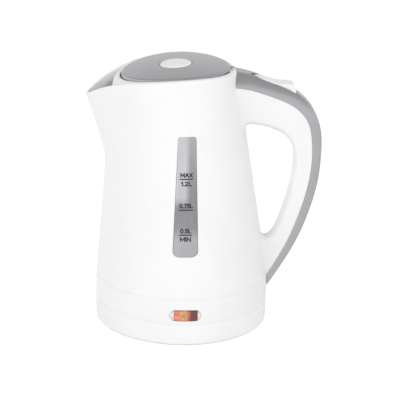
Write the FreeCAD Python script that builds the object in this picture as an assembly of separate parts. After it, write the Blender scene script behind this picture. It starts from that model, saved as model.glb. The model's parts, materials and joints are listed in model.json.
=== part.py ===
import FreeCAD
import Part
import math
import os

# Electric kettle, lengths in millimetres.
# The origin is on the axis of the power base, where it stands on the table.
# X points to the handle, -X to the spout, -Y to the front with the water gauge, Z up.

V = FreeCAD.Vector

# Overall form
base_radius = 72.0        # power base and lower skirt
base_height = 18.7        # top of the power base
skirt_height = 20.8       # lower housing of the kettle
jug_height = 176.8        # from the jug's lower edge to the top of its arch
jug_inset = 0.1           # jug's lower edge inside the skirt
jug_top_radius = 50.0
jug_top_offset = 9.25     # the jug leans towards the spout by this much
arch_radius = 221.0       # side view curve of collar and lid
arch_x = 8.0              # highest point of that curve
jug_wall = 2.6
casing_wall = 2.2
parting_gap = 0.3         # between the base and the kettle standing on it
groove = 0.4              # shadow line between jug and skirt
fit_gap = 0.2             # pieces fixed to each other
run_gap = 0.4             # pieces that move past each other

# Spout
spout_slope = 0.405
spout_start = 101.8       # above the jug's lower edge
spout_blend = 8.0
spout_nose_radius = 12.0
lip_radius = 83.4         # the lip droops below the arch
lip_start = 58.0          # from the arch's highest point towards the spout

# Collar and lid
collar_height = 9.0
collar_land = 4.4
lid_gap = 1.2
lid_crown = 2.2           # lid centre above the arch
lid_rim_rise = 0.6        # lid rim above the arch
lid_shell = 2.0
lid_skirt_depth = 3.6     # lid cover's edge below the arch
liner_flange = 2.7
liner_radius = 38.2
liner_depth = 22.0
mouth_gap = 2.2
button_radius = 12.7
button_rise = 1.3
button_travel = 3.0
latch_width = 12.0
latch_thickness = 1.8
cam_half = 2.6            # half the width of the button's cam
hinge_back = 3.0          # hinge axis behind the lid's rim
hinge_drop = 2.05         # hinge axis below the collar's top
hinge_pin_radius = 1.0
knuckle_radius = 2.0
hinge_half = 7.6          # half the width of the hinge notch

# Water gauge on the front
gauge_bottom = 35.5       # above the jug's lower edge
gauge_height = 97.4
gauge_bottom_width = 21.4
gauge_top_width = 15.2
gauge_bottom_corner = 5.0
gauge_top_corner = 2.0
gauge_flange = 2.5

# Pilot lamp in the skirt
lamp_x = 0.9
lamp_rise = 7.2           # lamp axis above the skirt's lower edge
lamp_length = 27.6
lamp_height = 9.8
lamp_flange = 1.6

# Handle stations: outer edge, finger-gap edge, half width
# Upper ones are measured from the top of the jug at the handle, lower ones from its foot
handle_upper = [
    ((-5.5, -2.2), (-2.0, -45.6), 21.0),
    ((9.3, -4.9), (9.7, -45.9), 15.6),
    ((27.3, -11.0), (21.3, -47.6), 13.6),
    ((45.3, -19.0), (33.3, -51.4), 12.4),
    ((59.6, -31.4), (42.3, -57.2), 11.6),
    ((69.0, -48.5), (47.8, -66.0), 11.0),
    ((72.9, -71.0), (49.8, -79.0), 10.5),
]
handle_lower = [
    ((39.6, 81.5), (17.0, 78.8), 10.2),
    ((32.5, 52.0), (11.0, 54.8), 9.8),
    ((23.3, 28.2), (5.3, 39.0), 9.4),
    ((11.6, 6.4), (-1.5, 30.4), 9.1),
    ((-4.0, -19.0), (-14.0, 29.0), 9.0),
]
handle_edge = 5.2         # rounding of the grip
# Parting line between the white grip and its outer cover
parting_upper = [(-8.0, -14.2), (7.65, -17.1), (25.95, -22.8), (43.65, -31.0), (57.45, -43.0),
                 (63.95, -60.0), (65.25, -77.0)]
parting_lower = [(32.7, 81.3), (26.4, 55.8), (15.7, 29.1), (3.1, 4.8), (-9.0, -16.0)]

# Switch lever on the handle, measured from the top of the jug at the handle
lever_line = [(14.8, -7.2), (21.0, -8.2), (27.8, -10.6), (34.3, -12.2), (41.0, -12.6), (46.0, -13.1)]
lever_heel = [(48.0, -15.0), (49.6, -22.0), (49.0, -24.6), (27.0, -17.5), (17.2, -12.8)]
lever_width = 15.0
lever_pivot = (25.2, -18.6)
lever_pin_radius = 1.5
lever_hub_radius = 3.4
lever_tail = 8.5          # pivot to the cross pin that works the rocker
rocker_pin_radius = 1.2
pin_fit = 0.05            # pins in their holes
bimetal_drop = 7.0        # bimetal disc below the steam hole
steam_hole_radius = 4.0
rocker_arm = 7.0
cross_pin_radius = 1.4

# Heater and connector
flange_width = 15.0       # jug's seat flange, measured in from the base's radius
flange_bottom = 1.8       # above the jug's lower edge
flange_thickness = 4.0
seal_thickness = 1.6
seal_width = 6.0
plate_thickness = 1.0
clamp_thickness = 2.0
clamp_edge = 3.6          # clamp ring inside the base's radius
clamp_screw_inset = 6.0
spreader_margin = 9.0     # heat spreader inside the flange
spreader_thickness = 2.5
element_margin = 10.0     # heating ring inside the spreader's edge
element_tube = 3.5
element_sweep = 300.0
control_radius = 24.0
control_height = 12.2
boil_disc_radius = 7.2
boil_disc_offset = 11.0
socket_radius = 14.5
socket_height = 22.0
socket_flange = 2.0
plug_lift = 3.0           # kettle's contacts above the socket's flange
shroud_wall = 2.0
pin_radius = 2.0
ring_radius = 9.4
contact_wall = 0.8
earth_radius = 16.2
well_radius = 22.5
cover_thickness = 2.0
foot_height = 1.2
foot_radius = 6.5
foot_inset = 17.0         # feet inside the base's radius
gland_bore = 3.4
gland_radius = 5.0
gland_height = 9.85
gland_reach = 4.0
wire_radius = 1.0
wire_spread = 5.0
screw_shank = 1.5
screw_head = 2.8
screw_head_height = 1.6
screw_length = 7.0
flat_head_height = 0.9    # heads sunk flush in the covers
post_radius = 3.5         # screw posts in the mouldings

# Heights and places worked out from the sizes above
base_floor = foot_height
skirt_bottom = base_height + parting_gap
skirt_top = skirt_bottom + skirt_height
jug_bottom = skirt_top + groove
arch_top = jug_bottom + jug_height
arch_z = arch_top - arch_radius
jug_foot_radius = base_radius - jug_inset
flange_inner = base_radius - flange_width
clamp_ring_radius = base_radius - clamp_edge
clamp_screw_ring = base_radius - clamp_screw_inset
spreader_radius = flange_inner - spreader_margin
element_ring = spreader_radius - element_margin
foot_ring = base_radius - foot_inset
seat_bottom = jug_bottom + flange_bottom
plate_top = seat_bottom - seal_thickness
plate_bottom = plate_top - plate_thickness
clamp_bottom = plate_bottom - clamp_thickness
skirt_flange_bottom = clamp_bottom - cover_thickness
spreader_bottom = plate_bottom - spreader_thickness
control_top = spreader_bottom - fit_gap
control_bottom = control_top - control_height
bottom_cover_z = skirt_bottom + 2.4
span = 2.0 * base_radius  # long enough to reach across the whole kettle


def jug_share(z):
    return (z - jug_bottom) / jug_height


def jug_centre(z):
    return -jug_top_offset * jug_share(z)


def jug_radius(z):
    return jug_foot_radius + (jug_top_radius - jug_foot_radius) * jug_share(z)


def arch_line(x, drop=0.0):
    return arch_z + math.sqrt((arch_radius - drop) ** 2 - (x - arch_x) ** 2)


lid_x = jug_centre(arch_top - collar_height)
lid_radius = jug_top_radius - collar_land - lid_gap
lid_front = lid_x - lid_radius
mouth_radius = liner_radius + mouth_gap
hinge_x = lid_x + lid_radius + hinge_back
hinge_z = arch_line(hinge_x) - hinge_drop
handle_top = V(jug_centre(arch_top) + jug_top_radius, 0, arch_top)
handle_foot = V(base_radius, 0, jug_bottom)
latch_top = arch_line(lid_front) - 2.9
latch_bottom = latch_top - latch_thickness
liner_bottom = arch_line(lid_x) - liner_depth


# Basic solids

def disc(radius, z0, z1, x=0.0, y=0.0):
    return Part.makeCylinder(radius, z1 - z0, V(x, y, z0))


def tube(outer, inner, z0, z1, x=0.0, y=0.0):
    return disc(outer, z0, z1, x, y).cut(disc(inner, z0, z1, x, y))


def block(x0, x1, half_y, z0, z1):
    return Part.makeBox(x1 - x0, 2 * half_y, z1 - z0, V(x0, -half_y, z0))


def rod(radius, start, end):
    return Part.makeCylinder(radius, (end - start).Length, start, end - start)


def cross_rod(radius, x, z, y0, y1):
    return rod(radius, V(x, y0, z), V(x, y1, z))


def spots(count, radius, first=0.0):
    steps = [math.radians(first + 360.0 * i / count) for i in range(count)]
    return [(radius * math.cos(a), radius * math.sin(a)) for a in steps]


def joined(first, others):
    for other in others:
        first = first.fuse(other)
    return first.removeSplitter()


def curve(points):
    spline = Part.BSplineCurve()
    spline.interpolate([V(x, 0, z) for x, z in points])
    return spline


def prism(edges, half_y):
    face = Part.Face(Part.Wire(edges))
    face.translate(V(0, -half_y, 0))
    return face.extrude(V(0, 2 * half_y, 0))


def line(a, b):
    return Part.LineSegment(V(*a), V(*b)).toShape()


def closing(points):
    return [line(points[i], points[i + 1]) for i in range(len(points) - 1)]


def screw(x, y, head_z, length, head_height=screw_head_height):
    return disc(screw_head, head_z, head_z + head_height, x, y).fuse(
        disc(screw_shank, head_z + head_height, head_z + head_height + length, x, y))


def arc_to_tangent(start, corner, end):
    middle = (start + end) * 0.5
    rise = corner - middle
    half_turn = math.atan2(rise.Length, (end - start).Length / 2)
    share = math.tan(half_turn / 2) / math.tan(half_turn)
    return Part.Arc(start, middle + rise * share, end).toShape()


def swept(path, radius, start, direction):
    section = Part.Wire(Part.Circle(start, direction, radius).toShape())
    return Part.Wire(path).makePipeShell([section], True, False)


def coil(centre, axis, side, coil_radius, wire, pitch, turns):
    # One unbroken winding of quarter-turn biarcs about an axis
    across = axis.cross(side)
    step = math.pi / 2
    climb = pitch / (2 * math.pi)

    def place(a):
        return centre + (side * math.cos(a) + across * math.sin(a)) * coil_radius + axis * (climb * a)

    def heading(a):
        return ((across * math.cos(a) - side * math.sin(a)) * coil_radius + axis * climb).normalize()

    edges = []
    for i in range(int(turns * 4)):
        p, q = place(i * step), place((i + 1) * step)
        t, u = heading(i * step), heading((i + 1) * step)
        chord, both = q - p, t + u
        a = both.dot(both) - 4
        b = -2 * chord.dot(both)
        reach = (-b - math.sqrt(b * b - 4 * a * chord.dot(chord))) / (2 * a)
        mid = (p + t * reach + q - u * reach) * 0.5
        edges += [arc_to_tangent(p, p + t * reach, mid), arc_to_tangent(mid, q - u * reach, q)]
    print("coil gap to itself, mm:", round(pitch * math.cos(math.atan(climb / coil_radius)) - 2 * wire, 2))
    return swept(edges, wire, place(0), heading(0))


def led_wire(points, radius):
    # A lead held all the way: straight runs with the largest tangent arcs that they allow
    edges = []
    at = points[0]
    for i in range(1, len(points) - 1):
        before, after = points[i] - points[i - 1], points[i + 1] - points[i]
        trim = 0.45 * min(before.Length, after.Length)
        enter = points[i] - before.normalize() * trim
        leave = points[i] + after.normalize() * trim
        edges += [Part.LineSegment(at, enter).toShape(), arc_to_tangent(enter, points[i], leave)]
        at = leave
    edges.append(Part.LineSegment(at, points[-1]).toShape())
    return swept(edges, radius, points[0], points[1] - points[0])


# The jug's form

def spout_reach(z):
    u = z - jug_bottom - spout_start
    return spout_slope * (u + math.hypot(u, spout_blend)) / 2


def jug_outline(z, inset):
    # A circle drawn out to a narrow nose at the spout
    radius = jug_radius(z) - inset
    nose = spout_nose_radius - inset
    nose_at = radius + spout_reach(z) - nose
    touch = math.acos((radius - nose) / nose_at)
    nose_end = math.atan2(nose * math.sin(touch), nose_at + nose * math.cos(touch))
    count = 56
    points = []
    for i in range(count):
        s = 2 * math.pi * i / count - math.pi
        angle = s - 0.6 * math.sin(s)
        a = abs(angle)
        if a >= touch:
            r = radius
        elif a >= nose_end:
            r = radius / math.cos(touch - a)
        else:
            r = nose_at * math.cos(a) + math.sqrt(nose ** 2 - (nose_at * math.sin(a)) ** 2)
        points.append(V(jug_centre(z) - r * math.cos(angle), r * math.sin(angle), z))
    spline = Part.BSplineCurve()
    spline.interpolate(points, PeriodicFlag=True, Parameters=[i / count for i in range(count + 1)])
    return Part.Wire(spline.toShape())


def jug_form(inset):
    # Straight-sided up to the root of the spout, then drawn smoothly out to it
    root = jug_bottom + spout_start - 3 * spout_blend
    top = arch_top + collar_height
    steps = 12
    levels = [root + (top - root) * i / steps for i in range(steps + 1)]
    straight = Part.makeLoft([jug_outline(z, inset) for z in (jug_bottom, root)], True, True)
    drawn = Part.makeLoft([jug_outline(z, inset) for z in levels], True, False)
    return straight.fuse(drawn)


def jug_cone(growth, start, end):
    rings = [Part.Wire(Part.Circle(V(jug_centre(z), 0, z), V(0, 0, 1), jug_radius(z) + growth).toShape())
             for z in (start, end)]
    return Part.makeLoft(rings, True, True)


def under_arch(drop):
    # Everything below the arch and the drooping lip, lowered by a drop
    radius = arch_radius - drop
    lip = lip_radius - drop
    lean = math.asin(lip_start / arch_radius)
    lip_x = arch_x - (arch_radius - lip_radius) * math.sin(lean)
    lip_z = arch_z + (arch_radius - lip_radius) * math.cos(lean)

    def on(cx, cz, r, angle):
        return V(cx - r * math.sin(angle), 0, cz + r * math.cos(angle))

    steep = lean + math.radians(50)
    back = -math.radians(42)
    ends = [on(lip_x, lip_z, lip, steep), on(arch_x, arch_z, radius, lean), on(arch_x, arch_z, radius, back)]
    far_left = V(ends[0].x - span, 0, ends[0].z - span)
    low_left = V(far_left.x, 0, -span)
    low_right = V(ends[2].x, 0, -span)
    edges = [
        Part.Arc(ends[0], on(lip_x, lip_z, lip, (steep + lean) / 2), ends[1]).toShape(),
        Part.Arc(ends[1], on(arch_x, arch_z, radius, (lean + back) / 2), ends[2]).toShape(),
    ] + closing([ends[2], low_right, low_left, far_left, ends[0]])
    return prism(edges, span)


def handle_stations():
    upper = [(handle_top + V(o[0], 0, o[1]), handle_top + V(h[0], 0, h[1]), w) for o, h, w in handle_upper]
    lower = [(handle_foot + V(o[0], 0, o[1]), handle_foot + V(h[0], 0, h[1]), w) for o, h, w in handle_lower]
    return upper + lower


def handle_section(outer, inner, half, inset):
    along = (outer - inner).normalize()
    side = V(0, 1, 0)
    top, low = outer - along * inset, inner + along * inset
    width = half - inset
    r = max(handle_edge - inset, 1.0)
    k = r * (1 - math.sqrt(0.5))
    corners = [(top, along * -1, side, 1), (top, along * -1, side, -1),
               (low, along, side, -1), (low, along, side, 1)]
    ends = []
    for base, inward, across, sign in corners:
        edge = base + across * (sign * width)
        flat = base + across * (sign * (width - r))
        bow = base + inward * k + across * (sign * (width - k))
        ends.append((flat, bow, edge + inward * r))
    edges = [
        Part.LineSegment(ends[0][0], ends[1][0]).toShape(),
        Part.Arc(*ends[1]).toShape(),
        Part.LineSegment(ends[1][2], ends[2][2]).toShape(),
        Part.Arc(ends[2][2], ends[2][1], ends[2][0]).toShape(),
        Part.LineSegment(ends[2][0], ends[3][0]).toShape(),
        Part.Arc(*ends[3]).toShape(),
        Part.LineSegment(ends[3][2], ends[0][2]).toShape(),
        Part.Arc(ends[0][2], ends[0][1], ends[0][0]).toShape(),
    ]
    return Part.Wire(edges)


def handle_form(inset):
    return Part.makeLoft([handle_section(o, h, w, inset) for o, h, w in handle_stations()], True, False)


def grip_side():
    # The region on the finger side of the parting line
    points = [(handle_top.x + x, handle_top.z + z) for x, z in parting_upper]
    points += [(handle_foot.x + x, handle_foot.z + z) for x, z in parting_lower]
    spline = curve(points)
    start, end = spline.StartPoint, spline.EndPoint
    inner_x = -base_radius
    return prism([spline.toShape()] + closing([end, V(inner_x, 0, end.z), V(inner_x, 0, start.z), start]), span)


jug_solid = jug_form(0.0)
cavity = jug_form(jug_wall)
arch_block = under_arch(0.0)
collar_block = under_arch(collar_height)
handle_solid = handle_form(0.0)
handle_hollow = handle_form(casing_wall).cut(jug_solid).cut(disc(base_radius + fit_gap, -span, jug_bottom))
grip_region = grip_side()
body_clear = jug_cone(parting_gap, jug_bottom, arch_top + collar_height)
skirt_clear = disc(base_radius + parting_gap, -span, jug_bottom)


# Power base

base_screw_ring = base_radius - 14.0
socket_screw_ring = well_radius + 6.5
socket_flange_top = base_floor + cover_thickness + 3.8
base_screw_spots = spots(3, base_screw_ring, 30.0)
socket_screw_spots = spots(3, socket_screw_ring, 30.0)
foot_spots = spots(4, foot_ring, 45.0)
gland_axis = V(0, 0, gland_height)


def gland_rod(radius, y0, y1):
    return rod(radius, gland_axis + V(0, y0, 0), gland_axis + V(0, y1, 0))


def base_housing():
    outer = disc(base_radius, base_floor, base_height)
    rims = [e for e in outer.Edges if len(e.Vertexes) == 1]
    outer = outer.makeFillet(1.2, rims)
    inner = disc(base_radius - casing_wall, base_floor - 1, base_height - casing_wall)
    housing = outer.cut(inner)
    well_wall = disc(well_radius + casing_wall, socket_flange_top, base_height - casing_wall)
    posts = [disc(post_radius, base_floor + cover_thickness, base_height - casing_wall, x, y)
             for x, y in base_screw_spots]
    bosses = [disc(post_radius, socket_flange_top, base_height - casing_wall, x, y)
              for x, y in socket_screw_spots]
    housing = joined(housing, [well_wall] + posts + bosses)
    housing = housing.cut(disc(well_radius, base_floor, base_height + 1))
    for x, y in base_screw_spots + socket_screw_spots:
        housing = housing.cut(disc(screw_shank + fit_gap / 2, base_floor, base_height - 2 * casing_wall, x, y))
    return housing.cut(gland_rod(gland_radius + fit_gap / 2, base_radius - 8, base_radius + 8))


def base_bottom_cover():
    plate = disc(base_radius - casing_wall - fit_gap, base_floor, base_floor + cover_thickness)
    for x, y in base_screw_spots:
        plate = plate.cut(disc(screw_shank + fit_gap, 0, base_height, x, y))
        plate = plate.cut(disc(screw_head + fit_gap, base_floor, base_floor + flat_head_height + fit_gap, x, y))
    for x, y in foot_spots:
        plate = plate.cut(disc(foot_radius / 2 + fit_gap / 2, 0, base_height, x, y))
    return plate


def base_feet():
    return Part.makeCompound([
        disc(foot_radius, 0, foot_height, x, y).fuse(
            disc(foot_radius / 2, foot_height, base_floor + cover_thickness, x, y))
        for x, y in foot_spots])


def base_screws():
    return Part.makeCompound([screw(x, y, base_floor + fit_gap, screw_length, flat_head_height)
                              for x, y in base_screw_spots])


def base_socket():
    # Raised connector with a centre hole and a ring slot, on a wide flange
    flange_low = socket_flange_top - socket_flange
    flange = disc(socket_screw_ring + post_radius, flange_low, socket_flange_top - fit_gap)
    tower = disc(socket_radius, flange_low, socket_height)
    rims = [e for e in tower.Edges if len(e.Vertexes) == 1 and e.CenterOfMass.z > socket_height - 1]
    body = flange.fuse(tower.makeFillet(1.0, rims)).removeSplitter()
    slot_floor = socket_flange_top + 1.0
    body = body.cut(disc(pin_radius + run_gap + contact_wall + fit_gap, slot_floor, socket_height + 1))
    slot_inner = ring_radius - run_gap - contact_wall - fit_gap
    body = body.cut(tube(ring_radius + contact_wall + 2 * run_gap, slot_inner, slot_floor, socket_height + 1))
    for x, y in socket_screw_spots:
        body = body.cut(disc(screw_shank + fit_gap, 0, base_height, x, y))
    return body


def base_live_contact():
    inner = pin_radius + run_gap
    return tube(inner + contact_wall, inner, socket_flange_top + 1.0, socket_height - 2.0)


def base_neutral_contact():
    outer = ring_radius - run_gap
    return tube(outer, outer - contact_wall, socket_flange_top + 1.0, socket_height - 3.0)


def base_earth_contact():
    return tube(socket_radius + fit_gap + contact_wall, socket_radius + fit_gap,
                socket_flange_top - fit_gap, socket_height - 4.0)


def socket_screws():
    head_z = socket_flange_top - socket_flange - screw_head_height
    return Part.makeCompound([screw(x, y, head_z, screw_length) for x, y in socket_screw_spots])


def cord_gland():
    face = math.sqrt(base_radius ** 2 - gland_radius ** 2)
    sleeve = gland_rod(gland_radius, face - 7.0, base_radius + gland_reach)
    rims = [e for e in sleeve.Edges if len(e.Vertexes) == 1 and e.CenterOfMass.y > base_radius]
    collar = gland_rod(gland_radius + 1.2, face - 7.0, face - casing_wall - 2.4)
    return sleeve.makeFillet(1.0, rims).fuse(collar).removeSplitter().cut(
        gland_rod(gland_bore, face - 8.0, base_radius + gland_reach + 1))


# Lower housing of the kettle

cover_screw_ring = base_radius - casing_wall - 4.6
cover_screw_spots = spots(3, cover_screw_ring, 105.0)
clamp_screw_spots = spots(6, clamp_screw_ring, 15.0)
lamp_z = skirt_bottom + lamp_rise
wire_entry_z = skirt_flange_bottom - 3.6


def pill(grow, y0, y1):
    half = lamp_height / 2 + grow
    run = lamp_length / 2 - lamp_height / 2
    bar = Part.makeBox(2 * run, y1 - y0, 2 * half, V(lamp_x - run, y0, lamp_z - half))
    ends = [rod(half, V(lamp_x + s * run, y0, lamp_z), V(lamp_x + s * run, y1, lamp_z)) for s in (-1, 1)]
    return joined(bar, ends)


def lower_skirt():
    outer = disc(base_radius, skirt_bottom, skirt_top)
    rims = [e for e in outer.Edges if len(e.Vertexes) == 1]
    ring = outer.makeChamfer(0.5, rims).cut(disc(base_radius - casing_wall, skirt_bottom - 1, skirt_top + 1))
    flange = tube(base_radius - casing_wall, flange_inner + 3.0, skirt_flange_bottom, clamp_bottom)
    posts = [disc(post_radius, bottom_cover_z + cover_thickness, skirt_flange_bottom, x, y)
             for x, y in cover_screw_spots]
    skirt = joined(ring, [flange] + posts)
    for x, y in clamp_screw_spots:
        skirt = skirt.cut(disc(screw_shank + fit_gap, skirt_flange_bottom, clamp_bottom, x, y))
    for x, y in cover_screw_spots:
        skirt = skirt.cut(disc(screw_shank + fit_gap / 2, bottom_cover_z, skirt_flange_bottom - 2.0, x, y))
    skirt = skirt.cut(pill(fit_gap, -base_radius - 2, -base_radius + 12))
    wire_hole = block(base_radius - 4, base_radius + 5, wire_spread + 2.0, wire_entry_z - 1.6, clamp_bottom)
    return skirt.cut(wire_hole)


def kettle_bottom_cover():
    plate = disc(base_radius - casing_wall - fit_gap, bottom_cover_z, bottom_cover_z + cover_thickness)
    plate = plate.cut(disc(earth_radius + contact_wall + fit_gap + shroud_wall + 1.0, 0, span))
    sunk_top = bottom_cover_z + flat_head_height + fit_gap
    for x, y in cover_screw_spots:
        plate = plate.cut(disc(screw_shank + fit_gap, 0, span, x, y))
        plate = plate.cut(disc(screw_head + fit_gap, bottom_cover_z, sunk_top, x, y))
    return plate.cut(pill(lamp_flange + fit_gap, -base_radius - 2, -base_radius + casing_wall + 4.0))


def bottom_cover_screws():
    return Part.makeCompound([screw(x, y, bottom_cover_z + fit_gap, screw_length, flat_head_height)
                              for x, y in cover_screw_spots])


def lamp_lens():
    bezel = pill(0.0, -base_radius - 2, -base_radius + 12).common(
        tube(base_radius + 0.3, base_radius - casing_wall - fit_gap, skirt_bottom, skirt_top))
    back = pill(lamp_flange, -base_radius - 2, -base_radius + 12).common(
        tube(base_radius - casing_wall - fit_gap, base_radius - casing_wall - 1.4, skirt_bottom, skirt_top))
    return bezel.fuse(back).removeSplitter()


lamp_tube_y = -base_radius + casing_wall + 5.6
lamp_tube_radius = 2.6


def lamp_holder():
    body = block(lamp_x - 11, lamp_x + 11, 3.6, bottom_cover_z + cover_thickness, lamp_z + 1.4)
    body.translate(V(0, lamp_tube_y + 1.2, 0))
    seat_ends = [V(lamp_x + x, lamp_tube_y, lamp_z) for x in (-9, 9)]
    seat = rod(lamp_tube_radius + fit_gap, *seat_ends)
    slot = block(lamp_x - 9, lamp_x + 9, 3.0, lamp_z - 1.6, lamp_z + 3)
    slot.translate(V(0, lamp_tube_y - 2.4, 0))
    return body.cut(seat).cut(slot)


def neon_lamp():
    bulb = rod(lamp_tube_radius, V(lamp_x - 7.5, lamp_tube_y, lamp_z), V(lamp_x + 8.5, lamp_tube_y, lamp_z))
    rims = [e for e in bulb.Edges if len(e.Vertexes) == 1]
    return bulb.makeFillet(1.6, rims)


def heater_plate():
    return disc(flange_inner + seal_width, plate_bottom, plate_top)


def plate_seal():
    return tube(flange_inner + seal_width, flange_inner, plate_top, seat_bottom)


def clamp_ring():
    ring = tube(clamp_ring_radius, flange_inner, clamp_bottom, plate_bottom)
    for x, y in clamp_screw_spots:
        ring = ring.cut(disc(screw_shank + fit_gap, clamp_bottom, plate_bottom, x, y))
    return ring


def clamp_screws():
    reach = seat_bottom + flange_thickness - 0.6 - skirt_flange_bottom
    head_z = skirt_flange_bottom - screw_head_height
    return Part.makeCompound([screw(x, y, head_z, reach) for x, y in clamp_screw_spots])


control_screw_spots = spots(3, control_radius - 3.4, 90.0)


def heat_spreader():
    plate = disc(spreader_radius, spreader_bottom, plate_bottom)
    for x, y in control_screw_spots:
        plate = plate.cut(disc(screw_shank, spreader_bottom, plate_bottom - 0.6, x, y))
    return plate


element_z = spreader_bottom - element_tube
element_start = math.radians((360.0 - element_sweep) / 2)


def heating_element():
    ring = Part.makeTorus(element_ring, element_tube, V(0, 0, element_z), V(0, 0, 1), 0, 360, element_sweep)
    ring.rotate(V(0, 0, 0), V(0, 0, 1), math.degrees(element_start))
    return ring


def element_terminals():
    pins = []
    for angle in (element_start, -element_start):
        out = V(math.cos(angle), math.sin(angle), 0)
        tangent = V(-math.sin(angle), math.cos(angle), 0) * (-1 if angle > 0 else 1)
        start = out * element_ring + V(0, 0, element_z)
        pins.append(rod(1.5, start, start + tangent * 9.0))
    return Part.makeCompound(pins)


shroud_inner = earth_radius + contact_wall + fit_gap
disc_spots = [(-boil_disc_offset, 0.0), (boil_disc_offset, 0.0)]


def control_housing():
    body = disc(control_radius, control_bottom, control_top)
    shroud = tube(shroud_inner + shroud_wall, shroud_inner, socket_flange_top + plug_lift, control_bottom)
    body = joined(body, [shroud])
    depth = control_bottom + control_height / 2
    body = body.cut(disc(pin_radius + fit_gap / 2, control_bottom, depth))
    ring_outer = ring_radius + contact_wall + fit_gap / 2
    body = body.cut(tube(ring_outer, ring_radius - fit_gap / 2, control_bottom, depth))
    for x, y in disc_spots:
        body = body.cut(disc(boil_disc_radius + 0.8, control_top - 1.4, control_top, x, y))
    for x, y in control_screw_spots:
        body = body.cut(disc(screw_shank + fit_gap, control_bottom, control_top, x, y))
        body = body.cut(disc(screw_head + fit_gap, control_bottom, control_bottom + 2.0, x, y))
    return body


def control_screws():
    length = plate_bottom - 0.8 - control_bottom - 2.0
    return Part.makeCompound([screw(x, y, control_bottom + 0.4, length) for x, y in control_screw_spots])


def boil_dry_discs():
    return Part.makeCompound([disc(boil_disc_radius, control_top - 1.2, control_top - 0.6, x, y)
                              for x, y in disc_spots])


def live_pin():
    pin = disc(pin_radius, socket_flange_top + plug_lift, control_bottom + control_height / 2)
    rims = [e for e in pin.Edges if len(e.Vertexes) == 1 and e.CenterOfMass.z < control_bottom]
    return pin.makeFillet(1.0, rims)


def neutral_ring():
    top = control_bottom + control_height / 2
    return tube(ring_radius + contact_wall, ring_radius, socket_flange_top + plug_lift, top)


def earth_ring():
    return tube(earth_radius + contact_wall, earth_radius, socket_flange_top + plug_lift + 1.0, control_bottom)


# Jug, gauge, filter and collar

def gauge_outline(grow):
    z0, z1 = jug_bottom + gauge_bottom - grow, jug_bottom + gauge_bottom + gauge_height + grow
    low, high = gauge_bottom_width / 2 + grow, gauge_top_width / 2 + grow
    face = Part.Face(Part.Wire(closing([V(-low, 0, z0), V(low, 0, z0), V(high, 0, z1), V(-high, 0, z1),
                                        V(-low, 0, z0)])))
    window = face.extrude(V(0, -span, 0))
    low_edges = [e for e in window.Edges if e.Length > span - 1 and e.CenterOfMass.z < z0 + 1]
    window = window.makeFillet(gauge_bottom_corner + grow, low_edges)
    high_edges = [e for e in window.Edges if e.Length > span - 1 and e.CenterOfMass.z > z1 - 0.5]
    return window.makeFillet(gauge_top_corner + grow, high_edges)


def water_gauge():
    z0, z1 = jug_bottom + gauge_bottom - 8, jug_bottom + gauge_bottom + gauge_height + 8
    pane = gauge_outline(0.0).common(jug_cone(-0.15, z0, z1).cut(jug_cone(-jug_wall - fit_gap, z0, z1)))
    back = gauge_outline(gauge_flange).common(
        jug_cone(-jug_wall - fit_gap, z0, z1).cut(jug_cone(-jug_wall - fit_gap - 1.4, z0, z1)))
    return pane.fuse(back).removeSplitter()


filter_x = lid_x - mouth_radius - 2.4
filter_thickness = 2.0
filter_bottom = jug_bottom + spout_start + 8.0
filter_top = arch_line(filter_x, collar_height) - 1.0
filter_half = 17.0
filter_bar = 3.0


def filter_frame():
    plate = block(filter_x, filter_x + filter_thickness, filter_half, filter_bottom, filter_top)
    window = block(filter_x - 1, filter_x + filter_thickness + 1, filter_half - filter_bar,
                   filter_bottom + filter_bar, filter_top - filter_bar)
    middle = block(filter_x, filter_x + filter_thickness, filter_bar / 4, filter_bottom, filter_top)
    return plate.cut(window).fuse(middle).removeSplitter()


def filter_mesh():
    x = filter_x + filter_thickness
    width, height = 2 * filter_half - 2.0, filter_top - filter_bottom - 2.0
    columns, rows = 15, 15
    step_y, step_z = (width - 4.0) / columns, (height - 4.0) / rows
    gap_y, gap_z = step_y * 0.62, step_z * 0.62
    gaps = []
    for i in range(columns):
        for k in range(rows):
            y = -width / 2 + 2.0 + (i + 0.5) * step_y
            z = filter_bottom + 3.0 + (k + 0.5) * step_z
            corner = [V(x, y - gap_y / 2, z - gap_z / 2), V(x, y + gap_y / 2, z - gap_z / 2),
                      V(x, y + gap_y / 2, z + gap_z / 2), V(x, y - gap_y / 2, z + gap_z / 2)]
            gaps.append(Part.makePolygon(corner + corner[:1]))
    outline = Part.makePolygon([V(x, -width / 2, filter_bottom + 1), V(x, width / 2, filter_bottom + 1),
                                V(x, width / 2, filter_top - 1), V(x, -width / 2, filter_top - 1),
                                V(x, -width / 2, filter_bottom + 1)])
    sheet = Part.makeFace(Part.makeCompound([outline] + gaps), "Part::FaceMakerBullseye")
    return sheet.extrude(V(0.4, 0, 0))


handle_screw_z = jug_bottom + 10.0
handle_screw_seat = base_radius + 9.4


def screw_line(radius, x0, x1):
    return rod(radius, V(x0, 0, handle_screw_z), V(x1, 0, handle_screw_z))


switch_x = handle_top.x + 15.4
switch_length = 28.0
switch_z = handle_top.z - 41.0
switch_height = 12.0
switch_half = 8.0
steam_hole_z = arch_top - 27.0
bimetal_z = steam_hole_z - bimetal_drop


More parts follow.
